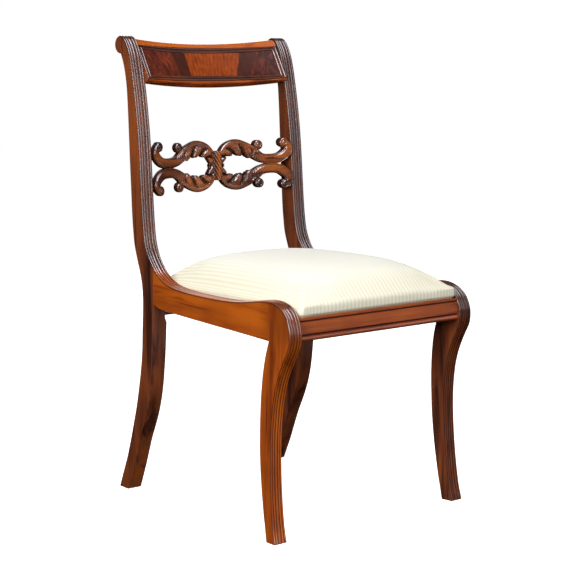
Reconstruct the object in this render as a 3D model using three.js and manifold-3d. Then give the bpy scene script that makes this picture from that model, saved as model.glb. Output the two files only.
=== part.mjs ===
// Empire side chair: reeded side frames with sabre legs, a bowed crest, a carved splat
// and a drop-in seat. Millimetres, +Z up, and the chair's front faces -Y. Left (-X) and right (+X)
// are as seen by someone who faces the chair. Depths (y) are counted from the front edge of the
// front feet, and the whole chair is centred on its depth at the end.
import * as THREE from "three";
import { mergeVertices } from "three/addons/utils/BufferGeometryUtils.js";
import Module from "manifold-3d";

const wasm = await Module();
wasm.setup();

// Driving dimensions
const overallHeight = 890;
const frontWidth = 479;        // across the front feet
const rearWidth = 411;         // across the rear legs, from the floor to the scrolls
const stileDepth = 480;        // depth at which the rear width is measured
const frontSplay = 0.035;      // each front leg leans in by this much per mm of height
const stock = 29;              // sideways thickness of legs, stiles and side rails
const gap = 0.3;               // glue line or clearance between neighbours
const railTop = 399.5;         // top of the front and rear rails, which carry the seat
const railBottom = 358.5;
const frontJoint = 35;         // depth of the joint between front leg and side rail
const rearJoint = 390;         // depth of the joint between side rail and rear leg
const railFoot = 355.5;        // no part of a side rail is lower
const legWaist = 3;            // the front legs are thinner by this much half way up
const scrollRadius = 17;
const scrollDepth = 496;

const far = 1000;

// The sideways place of a side frame's outer and inner face at a depth and height
const outerX = (y, z) => THREE.MathUtils.lerp(frontWidth / 2 - frontSplay * z, rearWidth / 2, y / stileDepth);
const innerX = (y, z) => outerX(y, z) - stock;

// Materials

const finish = (color, roughness, metalness = 0) =>
  new THREE.MeshStandardMaterial({ color, roughness, metalness });

const mahogany = finish(0x6e2a12, 0.28);
const carvedMahogany = finish(0x7a3514, 0.32);
const veneer = finish(0x8a3a14, 0.22);
const beechFrame = finish(0xb98f5e, 0.7);
const stripedFabric = finish(0xf1ecd8, 0.85);
const cottonStuffing = finish(0xe8e0cc, 0.95);
const juteWebbing = finish(0xa58455, 0.9);
const blackCambric = finish(0x1d1b1a, 0.9);
const screwSteel = finish(0x9a9a96, 0.4, 1);

// Solids and booleans

function toSolid(geometry) {
  const bare = geometry.clone();
  bare.deleteAttribute("normal");
  bare.deleteAttribute("uv");
  const merged = mergeVertices(bare, 1e-4);
  const triVerts = Uint32Array.from(merged.index.array);
  const vertProperties = Float32Array.from(merged.attributes.position.array);
  return new wasm.Manifold(new wasm.Mesh({ numProp: 3, vertProperties, triVerts }));
}

function toGeometry(solid) {
  const mesh = solid.getMesh();
  const geometry = new THREE.BufferGeometry();
  geometry.setAttribute("position", new THREE.BufferAttribute(Float32Array.from(mesh.vertProperties), 3));
  geometry.setIndex(new THREE.BufferAttribute(Uint32Array.from(mesh.triVerts), 1));
  geometry.computeVertexNormals();
  return geometry;
}

function signedVolume(points, faces) {
  let sum = 0;
  for (const [a, b, c] of faces) {
    sum += points[a].dot(new THREE.Vector3().crossVectors(points[b], points[c]));
  }
  return sum / 6;
}

// A closed body from points and triangles, turned so that its faces point outwards
function closedBody(points, faces) {
  const outward = signedVolume(points, faces) > 0;
  const order = outward ? faces : faces.map(([a, b, c]) => [a, c, b]);
  const geometry = new THREE.BufferGeometry();
  geometry.setAttribute("position", new THREE.Float32BufferAttribute(points.flatMap((p) => p.toArray()), 3));
  geometry.setIndex(order.flat());
  return geometry;
}

// A section carried through a row of stations: place(station, sectionPoint) gives each point
function sweep(outline, stations, place) {
  const section = THREE.ShapeUtils.isClockWise(outline) ? [...outline].reverse() : outline;
  const count = section.length;
  const points = stations.flatMap((station) => section.map((point) => place(station, point)));
  const faces = [];
  for (let i = 0; i + 1 < stations.length; i += 1) {
    for (let j = 0; j < count; j += 1) {
      const a = i * count + j;
      const b = i * count + ((j + 1) % count);
      faces.push([a, b, b + count], [a, b + count, a + count]);
    }
  }
  const last = (stations.length - 1) * count;
  for (const [a, b, c] of THREE.ShapeUtils.triangulateShape(section, [])) {
    faces.push([a, c, b], [last + a, last + b, last + c]);
  }
  return closedBody(points, faces);
}

function box(x0, x1, y0, y1, z0, z1) {
  const shape = new THREE.BoxGeometry(x1 - x0, y1 - y0, z1 - z0);
  return shape.translate((x0 + x1) / 2, (y0 + y1) / 2, (z0 + z1) / 2);
}

const boxSolid = (...sides) => toSolid(box(...sides));

// A section given as depth and height, carried from one side frame's inner face to the other's
const betweenFrames = (section) => toSolid(sweep(section, [-1, 1], (side, p) =>
  new THREE.Vector3(side * (innerX(p.x, p.y) - gap), p.x, p.y)));

// A plan outline raised from z0 to z1. Its points are a distance in from the side frame and a depth.
const besideFrame = (side, outline, z0, z1) => toSolid(sweep(
  outline.map(([inwards, y]) => new THREE.Vector2(inwards, y)),
  [z0, z1],
  (z, p) => new THREE.Vector3(side * (innerX(p.y, z) - p.x), p.y, z),
));

// Side frame: one reeded ribbon runs over the scroll, down the stile, along the rail, over the knee
// and down the front leg. Points are depth and height.

const kneeBack = [33, 356.5];

const ribbonRun = [
  ...arcPoints(scrollDepth, overallHeight - scrollRadius, scrollRadius, -100, 90, 8),
  [485, 886], [475.5, 875], [467, 859], [460.5, 840], [455.5, 819], [451, 796], [445.5, 765], [440.5, 731],
  [436, 693], [432.5, 652], [429.5, 610], [427, 572], [424, 538], [419.5, 505], [413, 484], [403, 465.5],
  [382, 443], [356, 427], [325, 419], [280, 415], [233, 413.6], [185, 413.2], [140, 414.5], [95, 419.5], [65, 424],
  [43, 426], [23, 424.5], [5, 419], [-8, 411], [-17, 401], [-23, 389], [-26.5, 375], [-26, 359],
  [-22, 345], [-11, 325], [-1, 304], [7, 283], [13, 258], [17, 228], [19, 195], [18.8, 163],
  [17.5, 130], [15, 95], [11, 57], [6.5, 27], [0, 0], [-2, -8],
];

const lowerRun = [
  [23.5, -8], [26, 0], [30.5, 22], [36.5, 50], [42, 82], [46.5, 113], [50, 146], [52, 180], [52.5, 220],
  [51.5, 257], [48.5, 290], [44.5, 316], [39, 338], kneeBack, [100, 360], [207, 365], [290, 369],
  [345, 372], [370, 374], [382, 377], [391, 382], [393, 358], [395, 330], [396.5, 295], [399.5, 259],
  [405, 215], [414, 177], [427, 143], [442, 111], [453, 83], [465, 51], [476, 25], [487, 0], [491, -8],
];

const backRun = [
  [524, -8], [519.5, 0], [503.5, 35], [489, 67], [477, 100], [466, 133], [454.5, 170], [445, 208],
  [437, 248], [432, 284], [430, 325], [428, 360], [427.5, 390], [431.5, 422], [441, 450], [449, 472],
  [455.5, 494], [459, 520], [462, 552], [464.5, 600], [467.5, 653], [470, 710], [473, 765], [475.5, 794],
  [480, 819], [485.5, 838], [490.5, 850], [494, 857],
];

function arcPoints(cy, cz, radius, fromDegrees, toDegrees, steps) {
  const points = [];
  for (let i = 0; i <= steps; i += 1) {
    const angle = THREE.MathUtils.degToRad(fromDegrees + ((toDegrees - fromDegrees) * i) / steps);
    points.push([cy + radius * Math.cos(angle), cz + radius * Math.sin(angle)]);
  }
  return points;
}

// Outward direction of the ribbon at each of its points: to the left of its travel
function outwardNormals(points) {
  return points.map((_, i) => {
    const before = points[Math.max(i - 1, 0)];
    const after = points[Math.min(i + 1, points.length - 1)];
    const run = new THREE.Vector2(after[0] - before[0], after[1] - before[1]).normalize();
    return new THREE.Vector2(run.y, -run.x);
  });
}

const reedShares = [0.85, 1, 1.3, 1, 0.85];
const reedHeight = 1.9;
const ribbonRoot = 5;          // how deep the ribbon is let into the plank

// The reeds across the ribbon: [sideways place, height under the crown of the reeds]
function reedSection() {
  const whole = reedShares.reduce((a, b) => a + b, 0);
  const section = [new THREE.Vector2(0, -ribbonRoot)];
  let edge = 0;
  for (const share of reedShares) {
    const width = (share / whole) * stock;
    section.push(new THREE.Vector2(edge, -reedHeight));
    section.push(new THREE.Vector2(edge + width * 0.28, 0));
    section.push(new THREE.Vector2(edge + width * 0.72, 0));
    edge += width;
  }
  section.push(new THREE.Vector2(stock, -reedHeight), new THREE.Vector2(stock, -ribbonRoot));
  return section;
}

// One side frame, flat, with x counted inwards from its outer face
function flatSideFrame() {
  const normals = outwardNormals(ribbonRun);
  const ribbon = sweep(reedSection(), ribbonRun.map((_, i) => i), (i, point) => new THREE.Vector3(
    point.x,
    ribbonRun[i][0] + normals[i].x * point.y,
    ribbonRun[i][1] + normals[i].y * point.y,
  ));
  const setBack = reedHeight + 0.9;
  const face = ribbonRun.map(([y, z], i) => [y - normals[i].x * setBack, z - normals[i].y * setBack]);
  const outline = [...face, ...lowerRun, ...backRun];
  const shape = new THREE.Shape(outline.map(([y, z]) => new THREE.Vector2(y, z)));
  const plank = new THREE.ExtrudeGeometry(shape, { depth: stock, bevelEnabled: false });
  plank.applyMatrix4(new THREE.Matrix4().set(0, 0, 1, 0, 1, 0, 0, 0, 0, 1, 0, 0, 0, 0, 0, 1));
  const frame = toSolid(ribbon).add(toSolid(plank));
  return frame.intersect(boxSolid(-10, stock + 10, -100, far, 0, far));
}

// How much thinner the side frame is at a place: only a front leg has a waist
function waist(y, z) {
  return y < rearJoint / 2 && z < railBottom ? legWaist * Math.sin((Math.PI * z) / railBottom) : 0;
}

// A flat side frame's piece moved to its leaning place, on the left (-1) or the right (1)
function leanOut(solid, side) {
  const flat = toGeometry(solid);
  const place = flat.attributes.position;
  for (let i = 0; i < place.count; i += 1) {
    const [u, y, z] = [place.getX(i), place.getY(i), place.getZ(i)];
    place.setXYZ(i, side * (outerX(y, z) - u * (1 - waist(y, z) / stock)), y, z);
  }
  if (side > 0) {
    const turned = [];
    for (let i = 0; i < flat.index.count; i += 3) {
      turned.push(flat.index.getX(i), flat.index.getX(i + 2), flat.index.getX(i + 1));
    }
    flat.setIndex(turned);
  }
  return toSolid(flat);
}

const flatTenon = (y0, y1, z0, z1, grow) =>
  boxSolid(8.5 - grow, stock - 8.5 + grow, y0 - grow, y1 + grow, z0 - grow, z1 + grow);

function sidePieces(side) {
  const frame = flatSideFrame();
  const slice = (y0, y1, z0) => frame.intersect(boxSolid(-20, stock + 20, y0, y1, z0, far));
  const railSpace = boxSolid(-20, stock + 20, frontJoint, far, railFoot, far);
  const frontTenon = (grow) => flatTenon(frontJoint - 20, frontJoint + 6, 366, 400, grow);
  const rearTenon = (grow) => flatTenon(rearJoint - 6, rearJoint + 24, 398, 430, grow);
  const rail = slice(frontJoint + gap, rearJoint, railFoot + gap).add(frontTenon(0)).add(rearTenon(0));
  const frontLeg = slice(-100, rearJoint / 2, -50).subtract(railSpace).subtract(frontTenon(gap));
  return {
    frontLeg: leanOut(frontLeg, side),
    sideRail: leanOut(rail, side),
    rearLeg: leanOut(slice(rearJoint + gap, far, -50).subtract(rearTenon(gap)), side),
  };
}

// Front and rear rails, each running between the legs with a tenon at both ends

const frontRailFace = -19;
const frontRailBack = 6;
const rearRailFace = 400;
const rearRailBack = 421;
const tenonLength = 13;

// The front rail's section: a top strip, a groove, a flat field, a groove and a bottom bead
function frontRailSection() {
  const groove = 2;
  const [strip, top, low] = [railTop - 4, railTop - 7.5, railTop - 28.5];
  const bead = railTop - 32.5;
  const face = [
    [frontRailFace, railTop], [frontRailFace, strip], [frontRailFace + groove, strip - 0.6],
    [frontRailFace + groove, top + 0.6], [frontRailFace, top], [frontRailFace, low],
    [frontRailFace + groove, low - 0.6], [frontRailFace + groove, bead + 0.6],
    [frontRailFace, bead - 0.8], [frontRailFace - 0.8, (bead + railBottom) / 2], [frontRailFace + 0.4, railBottom + 1],
    [frontRailFace + 1.6, railBottom], [frontRailBack, railBottom], [frontRailBack, railTop],
  ];
  return face.map(([y, z]) => new THREE.Vector2(y, z));
}

function railTenons(y0, y1, z0, z1, grow) {
  const reach = innerX(y0, z0) + tenonLength + grow;
  const across = boxSolid(-reach, reach, y0 - grow, y1 + grow, z0 - grow, z1 + grow);
  return across.subtract(boxSolid(-150, 150, -far, far, -far, far));
}

const frontRailTenons = (grow) => railTenons(-11, -1, railBottom + 5, railTop - 7, grow);
const rearRailTenons = (grow) => railTenons(rearRailFace + 5, rearRailBack - 5, 362, 392, grow);

function frontRail() {
  return betweenFrames(frontRailSection()).add(frontRailTenons(0));
}

function rearRail() {
  const corners = [[rearRailFace, 356], [rearRailBack, 356], [rearRailBack, railTop], [rearRailFace, railTop]];
  return betweenFrames(corners.map(([y, z]) => new THREE.Vector2(y, z))).add(rearRailTenons(0));
}

// Crest rail: bowed backwards along its own leaning face. Its local places are x, v (up the face)
// and w (out of the face, to the front).

const crestLean = THREE.MathUtils.degToRad(29);
const crestCentre = { y: 464, z: 841.5 };
const crestSag = 20;
const crestHalfSpan = rearWidth / 2 - stock - gap;
const crestThickness = 22;
const endBeadWidth = 13;

// Lines along the crest's face, each a height up the face at the middle and at the ends
const topBeadEdge = [41.5, 36.2];
const panelTop = [28.6, 26.7];
const panelBottom = [-22.5, -31];
const bottomBeadEdge = [-33.5, -38.5];
const lineAt = ([middle, end], x) => THREE.MathUtils.lerp(middle, end, (x / crestHalfSpan) ** 2);

function onCrest(x, v, w) {
  const sag = crestSag * (1 - (x / crestHalfSpan) ** 2);
  const out = w - sag;
  return new THREE.Vector3(
    x,
    crestCentre.y + v * Math.sin(crestLean) - out * Math.cos(crestLean),
    crestCentre.z + v * Math.cos(crestLean) + out * Math.sin(crestLean),
  );
}

const acrossStations = (reach, steps) => Array.from({ length: steps + 1 }, (_, i) => reach * ((2 * i) / steps - 1));

function sweptAcross(section, reach, steps) {
  const points = section.map(([v, w]) => new THREE.Vector2(v, w));
  return toSolid(sweep(points, acrossStations(reach, steps), (x, p) => onCrest(x, p.x, p.y)));
}

function crestTenons(grow) {
  const [low, high] = [-12 - grow, 32 + grow];
  const section = [[low, -8 + grow], [high, -8 + grow], [high, -17 - grow], [low, -17 - grow]];
  return sweptAcross(section, crestHalfSpan + 11 + grow, 28).subtract(boxSolid(-150, 150, 0, far, 0, far));
}

function crestRail() {
  const section = [
    [-38.8, 0], [-40.2, -2.5], [-40.6, -6], [-40.6, -11], [-39.5, -16], [-37, -20], [-33, -crestThickness],
    [47, -crestThickness], [52, -20], [55, -15.5], [55.4, -10], [53, -5], [49, -1.4], [44, 0],
  ];
  return sweptAcross(section, crestHalfSpan, 16).add(crestTenons(0));
}

// A strip between two lines of the face, its section given as shares of its width and heights
function crestStrip(low, high, section, reach) {
  const outline = section.map(([share, w]) => new THREE.Vector2(share, w));
  return toSolid(sweep(outline, acrossStations(reach, 20), (x, p) => {
    const v = THREE.MathUtils.lerp(lineAt(low, x) + gap / 2, lineAt(high, x) - gap / 2, p.x);
    return onCrest(x, v, p.y);
  }));
}

function crestPanel() {
  const section = [[0, gap], [1, gap], [1, 1.2], [0, 1.2]];
  return crestStrip(panelBottom, panelTop, section, crestHalfSpan - endBeadWidth - 2 * gap);
}

// Two round beads side by side, as shares of the strip's width and heights out of the face
function doubleBead() {
  const bead = 0.38;
  const height = 2.6;
  const points = [[0, gap]];
  for (const start of [0, 1 - bead]) {
    for (const [part, rise] of [[0, 0.5], [0.25, 0.9], [0.5, 1], [0.75, 0.9], [1, 0.5]]) {
      points.push([start + bead * part, height * rise]);
    }
  }
  points.push([1, gap]);
  return points;
}

function crestBeadEnd(side) {
  const section = doubleBead().map(([share, w]) => new THREE.Vector2(share * endBeadWidth, w));
  return toSolid(sweep(section, [0, 0.5, 1], (up, p) => {
    const x = side * (crestHalfSpan - p.x);
    return onCrest(x, THREE.MathUtils.lerp(lineAt(panelBottom, x) + gap, lineAt(panelTop, x) - gap, up), p.y);
  }));
}

// Splat: two horseshoe scrolls with S-shaped arms, bowed backwards in plan. Its places are x,
// d (depth from its own middle surface) and h (height from its centre line).

const splatCentreHeight = 635;
const splatMiddle = 461;
const splatBowRadius = 560;
const splatLean = 0.05;
const armHalfDepth = 8.5;
const ballRadius = 9.5;
const ropeRadius = 9.8;
const ropeHalfHeight = 29;

function onSplat(x, d, h) {
  const y = splatMiddle - (x * x) / (2 * splatBowRadius) + splatLean * h + d;
  return new THREE.Vector3(x, y, splatCentreHeight + h);
}

// The upper arm of the right-hand scroll, from the rope to the volute at the stile: x, h, half height
const armPoints = [
  [10, -3, 8], [11, 10, 8], [16.5, 23.5, 10.5], [30, 33, 13], [50, 36.5, 14.5], [70, 32, 13.5], [88, 24.5, 12],
  [108, 12.5, 9.3], [130, 9.2, 9.6], [150, 12, 9.5], [164, 22, 9], [168, 33, 8], [163.5, 41.5, 7], [158, 43, 6],
];

function armStations(steps) {
  const curve = new THREE.CatmullRomCurve3(
    armPoints.map(([x, h, half]) => new THREE.Vector3(x, h, half)),
    false,
    "centripetal",
  );
  return Array.from({ length: steps + 1 }, (_, i) => {
    const at = curve.getPoint(i / steps);
    const run = curve.getTangent(i / steps);
    const normal = new THREE.Vector2(-run.y, run.x).normalize();
    return { x: at.x, h: at.y, half: at.z, normal };
  });
}

function roundSection(sides) {
  return Array.from({ length: sides }, (_, i) => {
    const angle = (2 * Math.PI * i) / sides;
    return new THREE.Vector2(Math.cos(angle), Math.sin(angle));
  });
}

function scrollArm(side, upward) {
  const place = (station, point) => onSplat(
    side * (station.x + station.normal.x * station.half * point.x),
    armHalfDepth * point.y,
    upward * (station.h + station.normal.y * station.half * point.x),
  );
  return toSolid(sweep(roundSection(8), armStations(24), place));
}

function ballAt(x, h, radius) {
  const centre = onSplat(x, 0, h);
  const ball = new THREE.SphereGeometry(radius, 10, 7);
  return toSolid(ball.translate(centre.x, centre.y, centre.z));
}

function ropeSolid(grow) {
  const half = ropeHalfHeight + grow;
  const radius = ropeRadius + grow;
  const profile = [[0, -half], [radius * 0.86, -half], [radius, -half * 0.5], [radius * 1.04, 0],
    [radius, half * 0.5], [radius * 0.86, half], [0, half]];
  const rope = new THREE.LatheGeometry(profile.map(([r, h]) => new THREE.Vector2(r, h)), 14);
  rope.rotateX(Math.PI / 2);
  rope.rotateX(-splatLean);
  const centre = onSplat(0, 0, 0);
  return toSolid(rope.translate(centre.x, centre.y, centre.z));
}

function splatScroll(side) {
  let scroll = scrollArm(side, 1).add(scrollArm(side, -1));
  for (const upward of [-1, 1]) {
    scroll = scroll.add(ballAt(side * 101, upward * 38.5, ballRadius));
    scroll = scroll.add(ballAt(side * 158, upward * 42.5, ballRadius));
  }
  const reach = rearWidth / 2 - stock + gap;
  const half = side > 0 ? boxSolid(gap, reach, 0, far, 0, far) : boxSolid(-reach, -gap, 0, far, 0, far);
  return scroll.subtract(ropeSolid(gap)).intersect(half);
}

// Dowels between the volutes and the stiles
const dowelHeight = 33;

function splatDowel(side, upward, grow) {
  const centre = onSplat(172, 3, upward * dowelHeight);
  const dowel = new THREE.CylinderGeometry(2.5 + grow, 2.5 + grow, 20 + 2 * grow, 10);
  dowel.rotateZ(Math.PI / 2);
  return toSolid(dowel.translate(side * (innerX(centre.y, centre.z) + 1), centre.y, centre.z));
}

// Corner blocks and their screws

const blockBottom = 364;
const blockTop = railTop - 1.5;
const blockLeg = 60;
const screwHeight = 381;

function cornerBlock(side, atFront) {
  const wall = atFront ? frontRailBack + gap : rearRailFace - gap;
  const into = atFront ? 1 : -1;
  const outline = [
    [gap, wall], [blockLeg, wall], [blockLeg, wall + into * 9], [17, wall + into * blockLeg],
    [gap, wall + into * blockLeg],
  ];
  return besideFrame(side, outline, blockBottom, blockTop);
}

// A countersunk wood screw with its head at the origin and its point along -Z
function screwShape(grow) {
  const profile = [[0, -36 - grow], [1 + grow, -34], [1.9 + grow, -31], [1.9 + grow, -4], [3.9 + grow, -1.6],
    [3.9 + grow, 0], [0, 0]];
  const screw = new THREE.LatheGeometry(profile.map(([r, h]) => new THREE.Vector2(r, h)), 10);
  return screw.rotateX(Math.PI / 2);
}

// The two screws of a block: one into the cross rail, one into the side rail
function blockScrews(side, atFront, grow) {
  const wall = atFront ? frontRailBack : rearRailFace;
  const into = atFront ? 1 : -1;
  const inner = innerX(wall, screwHeight);
  const toRail = screwShape(grow).rotateX(into * Math.PI / 2);
  toRail.translate(side * (inner - 38), wall + into * 25, screwHeight);
  const toSide = screwShape(grow).rotateY(-side * Math.PI / 2);
  toSide.translate(side * (inner - 24), wall + into * 40, screwHeight);
  return [toSolid(toRail), toSolid(toSide)];
}

// The bore behind a screw's head, out to the open side of the block
function screwAccess(side, atFront) {
  const wall = atFront ? frontRailBack : rearRailFace;
  const into = atFront ? 1 : -1;
  const inner = innerX(wall, screwHeight);
  const bore = () => new THREE.CylinderGeometry(4.4, 4.4, 30, 10);
  const toRail = bore().translate(side * (inner - 38), wall + into * (25 + 15 - 0.05), screwHeight);
  const toSide = bore().rotateZ(Math.PI / 2).translate(side * (inner - 24 - 15 + 0.05), wall + into * 40, screwHeight);
  return toSolid(toRail).add(toSolid(toSide));
}

// Drop-in seat: a wooden frame, interlaced webbing, stuffing, a striped cover and a dust cloth

const seatBottom = railTop + 0.4;
const seatThickness = 19;
const seatTop = seatBottom + seatThickness;
const seatMember = 50;         // width of the frame's members
const coverThickness = 1.5;
const cushionFront = -18.5;
const cushionRear = 422;
const cushionClear = 1.6;      // room between the cover and the side frames
const cushionCorner = 7;       // radius of the corners in plan
const seatCentre = (cushionFront + cushionRear) / 2;
const seatHalfDepth = (cushionRear - cushionFront) / 2;
const frameInset = coverThickness + 2;
const frameFront = cushionFront + frameInset;
const frameRear = cushionRear - frameInset;

// The seat's outline in plan, as shares of its half width and half depth, anticlockwise
function seatPlan(perSide) {
  const [shareX, shareY] = [cushionCorner / 185, cushionCorner / seatHalfDepth];
  const corners = [[1, 1], [-1, 1], [-1, -1], [1, -1]];
  const onCorner = (i, part) => {
    const angle = (Math.PI / 2) * (i + part);
    const [cx, cy] = corners[i % 4];
    return new THREE.Vector2(
      cx * (1 - shareX) + shareX * Math.cos(angle),
      cy * (1 - shareY) + shareY * Math.sin(angle),
    );
  };
  const plan = [];
  for (let i = 0; i < 4; i += 1) {
    for (const part of [0, 1 / 3, 2 / 3]) {
      plan.push(onCorner(i, part));
    }
    for (let k = 0; k < perSide; k += 1) {
      plan.push(onCorner(i, 1).lerp(onCorner(i + 1, 0), k / perSide));
    }
  }
  return plan;
}

// A place on the seat: shares of the half width and half depth, drawn in all round by the inset
function onSeat(share, inset, z) {
  const y = seatCentre + share.y * (seatHalfDepth - inset);
  return new THREE.Vector3(share.x * (innerX(y, z) - cushionClear - inset), y, z);
}

function seatFrameMember(y0, y1) {
  const whole = sweep(seatPlan(1), [seatBottom, seatTop], (z, share) => onSeat(share, frameInset, z));
  return toSolid(whole).intersect(boxSolid(-far, far, y0, y1, 0, far));
}

function seatSideMember(side) {
  const [y0, y1] = [frameFront + seatMember + gap, frameRear - seatMember - gap];
  const edge = cushionClear + frameInset;
  const outline = [[edge, y0], [edge + seatMember, y0], [edge + seatMember, y1], [edge, y1]];
  return besideFrame(side, outline, seatBottom, seatTop);
}

function seatTenon(side, atFront, grow) {
  const joint = atFront ? frameFront + seatMember : frameRear - seatMember;
  const centre = side * (innerX(joint, seatBottom) - cushionClear - frameInset - seatMember / 2);
  return boxSolid(
    centre - 16 - grow, centre + 16 + grow, joint - 22 - grow, joint + 22 + grow,
    seatBottom + 5.5 - grow, seatTop - 5.5 + grow,
  );
}

function seatFrame() {
  const acrossGrown = (atFront) => seatTenon(-1, atFront, gap).add(seatTenon(1, atFront, gap));
  const front = seatFrameMember(frameFront - 1, frameFront + seatMember).subtract(acrossGrown(true));
  const rear = seatFrameMember(frameRear - seatMember, frameRear + 1).subtract(acrossGrown(false));
  const sides = [-1, 1].map((side) =>
    seatSideMember(side).add(seatTenon(side, true, 0)).add(seatTenon(side, false, 0)));
  return { front, rear, left: sides[0], right: sides[1] };
}

const strapWidth = 54;
const strapThickness = 1.4;
const strapStepX = 88;
const strapStepY = 96;
const webLevel = seatTop + 1.9;
const strapWave = 0.95;
const strapEndLevel = seatTop + gap + strapThickness / 2;

// A strap's side view: flat over the frame, weaving over and under the straps that cross it
function strapOutline(reach, step, phase) {
  const count = 20;
  const upper = [];
  const lower = [];
  for (let i = 0; i <= count; i += 1) {
    const along = reach * ((2 * i) / count - 1);
    const wave = THREE.MathUtils.clamp(1.9 * Math.cos((Math.PI * along) / step), -1, 1);
    const level = Math.abs(along) > 1.5 * step ? strapEndLevel : webLevel + phase * strapWave * wave;
    upper.push([along, level + strapThickness / 2]);
    lower.push([along, level - strapThickness / 2]);
  }
  return [...upper, ...lower.reverse()];
}

function webStrap(across, index) {
  const phase = (index % 2 === 0 ? 1 : -1) * (across ? 1 : -1);
  const reach = across ? 160 : 190;
  const outline = strapOutline(reach, across ? strapStepX : strapStepY, phase);
  const section = outline.map(([a, z]) => new THREE.Vector2(a, z));
  const edges = [-strapWidth / 2, strapWidth / 2];
  const body = across
    ? sweep(section, edges, (edge, p) => new THREE.Vector3(p.x, seatCentre + index * strapStepY + edge, p.y))
    : sweep(section, edges, (edge, p) => new THREE.Vector3(index * strapStepX + edge, seatCentre + p.x, p.y));
  return toSolid(body);
}

// Cushion: upright at its border, then drawn in to a crown
const cushionBottom = railTop + 0.9;
const cushionCrown = 81;
const cushionSide = 27;        // height of the upright part of its border
const crownPower = 3;
const crownRound = 0.34;
const cushionRings = [1, 0.985, 0.96, 0.92, 0.86, 0.76, 0.62, 0.42, 0.2];

// Height of the cushion's surface at a place given as shares of its half width and half depth
function cushionHeight(share, inset) {
  const across = 1 - Math.abs(share.x) ** crownPower;
  const along = 1 - Math.abs(share.y) ** crownPower;
  return Math.max(cushionCrown * Math.max(across * along, 0) ** crownRound, cushionSide) - inset;
}

function cushionBody(inset, floor) {
  const plan = seatPlan(7);
  const count = plan.length;
  const points = plan.map((share) => onSeat(share, inset, floor));
  for (const ring of cushionRings) {
    for (const share of plan) {
      const inner = share.clone().multiplyScalar(ring);
      const point = onSeat(inner, inset, cushionBottom);
      point.z += cushionHeight(inner, inset);
      points.push(point);
    }
  }
  const faces = [];
  for (let i = 0; i < cushionRings.length; i += 1) {
    for (let j = 0; j < count; j += 1) {
      const a = i * count + j;
      const b = i * count + ((j + 1) % count);
      faces.push([a, b, b + count], [a, b + count, a + count]);
    }
  }
  const crown = points.length;
  const lastRing = cushionRings.length * count;
  points.push(new THREE.Vector3(0, seatCentre, cushionBottom + cushionCrown - inset));
  points.push(new THREE.Vector3(0, seatCentre, floor));
  for (let j = 0; j < count; j += 1) {
    const next = (j + 1) % count;
    faces.push([lastRing + j, lastRing + next, crown], [next, j, crown + 1]);
  }
  return toSolid(closedBody(points, faces));
}

const stuffingFloor = webLevel + strapWave + strapThickness / 2 + gap;

const seatCover = () => cushionBody(0, cushionBottom).subtract(cushionBody(coverThickness, cushionBottom - 5));
const seatStuffing = () => cushionBody(coverThickness + gap, stuffingFloor);

function dustCloth() {
  const shares = [[-0.95, -0.94], [0.95, -0.94], [0.95, 0.86], [-0.95, 0.86]];
  const outline = shares.map(([x, y]) => new THREE.Vector2(x, y));
  const levels = [seatBottom - 0.75 * gap - 0.06, seatBottom - 0.05];
  return toSolid(sweep(outline, levels, (z, share) => onSeat(share, frameInset, z)));
}

// Assembly

const chair = new THREE.Group();

function addPart(name, solid, material) {
  const mesh = new THREE.Mesh(toGeometry(solid), material.clone());
  mesh.name = name;
  chair.add(mesh);
}

const sides = [[-1, "left"], [1, "right"]];
const pieces = { left: sidePieces(-1), right: sidePieces(1) };
const crestHoles = crestTenons(gap);
const screwHoles = [];

for (const [side, word] of sides) {
  for (const [atFront, end] of [[true, "front"], [false, "rear"]]) {
    const name = `${end}_${word}`;
    const [railScrew, sideScrew] = blockScrews(side, atFront, 0);
    const [railHole, sideHole] = blockScrews(side, atFront, gap);
    const block = cornerBlock(side, atFront).subtract(screwAccess(side, atFront));
    addPart(`corner_block_${name}`, block.subtract(railHole).subtract(sideHole), beechFrame);
    addPart(`corner_screw_rail_${name}`, railScrew, screwSteel);
    addPart(`corner_screw_side_${name}`, sideScrew, screwSteel);
    screwHoles.push({ side, atFront, railHole, sideHole });
  }
}

const holesInRail = (atFront) => screwHoles.filter((hole) => hole.atFront === atFront).map((hole) => hole.railHole);
const cutAll = (solid, cuts) => cuts.reduce((rest, cut) => rest.subtract(cut), solid);

for (const [side, word] of sides) {
  const { frontLeg, sideRail, rearLeg } = pieces[word];
  const sideHoles = screwHoles.filter((hole) => hole.side === side).map((hole) => hole.sideHole);
  const dowelHoles = [-1, 1].map((upward) => splatDowel(side, upward, gap));
  addPart(`front_leg_${word}`, frontLeg.subtract(frontRailTenons(gap)), mahogany);
  addPart(`side_rail_${word}`, cutAll(sideRail, sideHoles), mahogany);
  addPart(`rear_leg_${word}`, cutAll(rearLeg, [rearRailTenons(gap), crestHoles, ...dowelHoles]), mahogany);
  addPart(`splat_scroll_${word}`, cutAll(splatScroll(side), dowelHoles), carvedMahogany);
  addPart(`splat_dowel_upper_${word}`, splatDowel(side, 1, 0), beechFrame);
  addPart(`splat_dowel_lower_${word}`, splatDowel(side, -1, 0), beechFrame);
  addPart(`crest_bead_${word}`, crestBeadEnd(side), mahogany);
}

addPart("front_rail", cutAll(frontRail(), holesInRail(true)), mahogany);
addPart("rear_rail", cutAll(rearRail(), holesInRail(false)), mahogany);
addPart("crest_rail", crestRail(), mahogany);
addPart("crest_panel", crestPanel(), veneer);
addPart("crest_bead_top", crestStrip(panelTop, topBeadEdge, doubleBead(), crestHalfSpan), mahogany);
addPart("crest_bead_bottom", crestStrip(bottomBeadEdge, panelBottom, doubleBead(), crestHalfSpan), mahogany);
addPart("splat_rope", ropeSolid(0), carvedMahogany);

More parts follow.
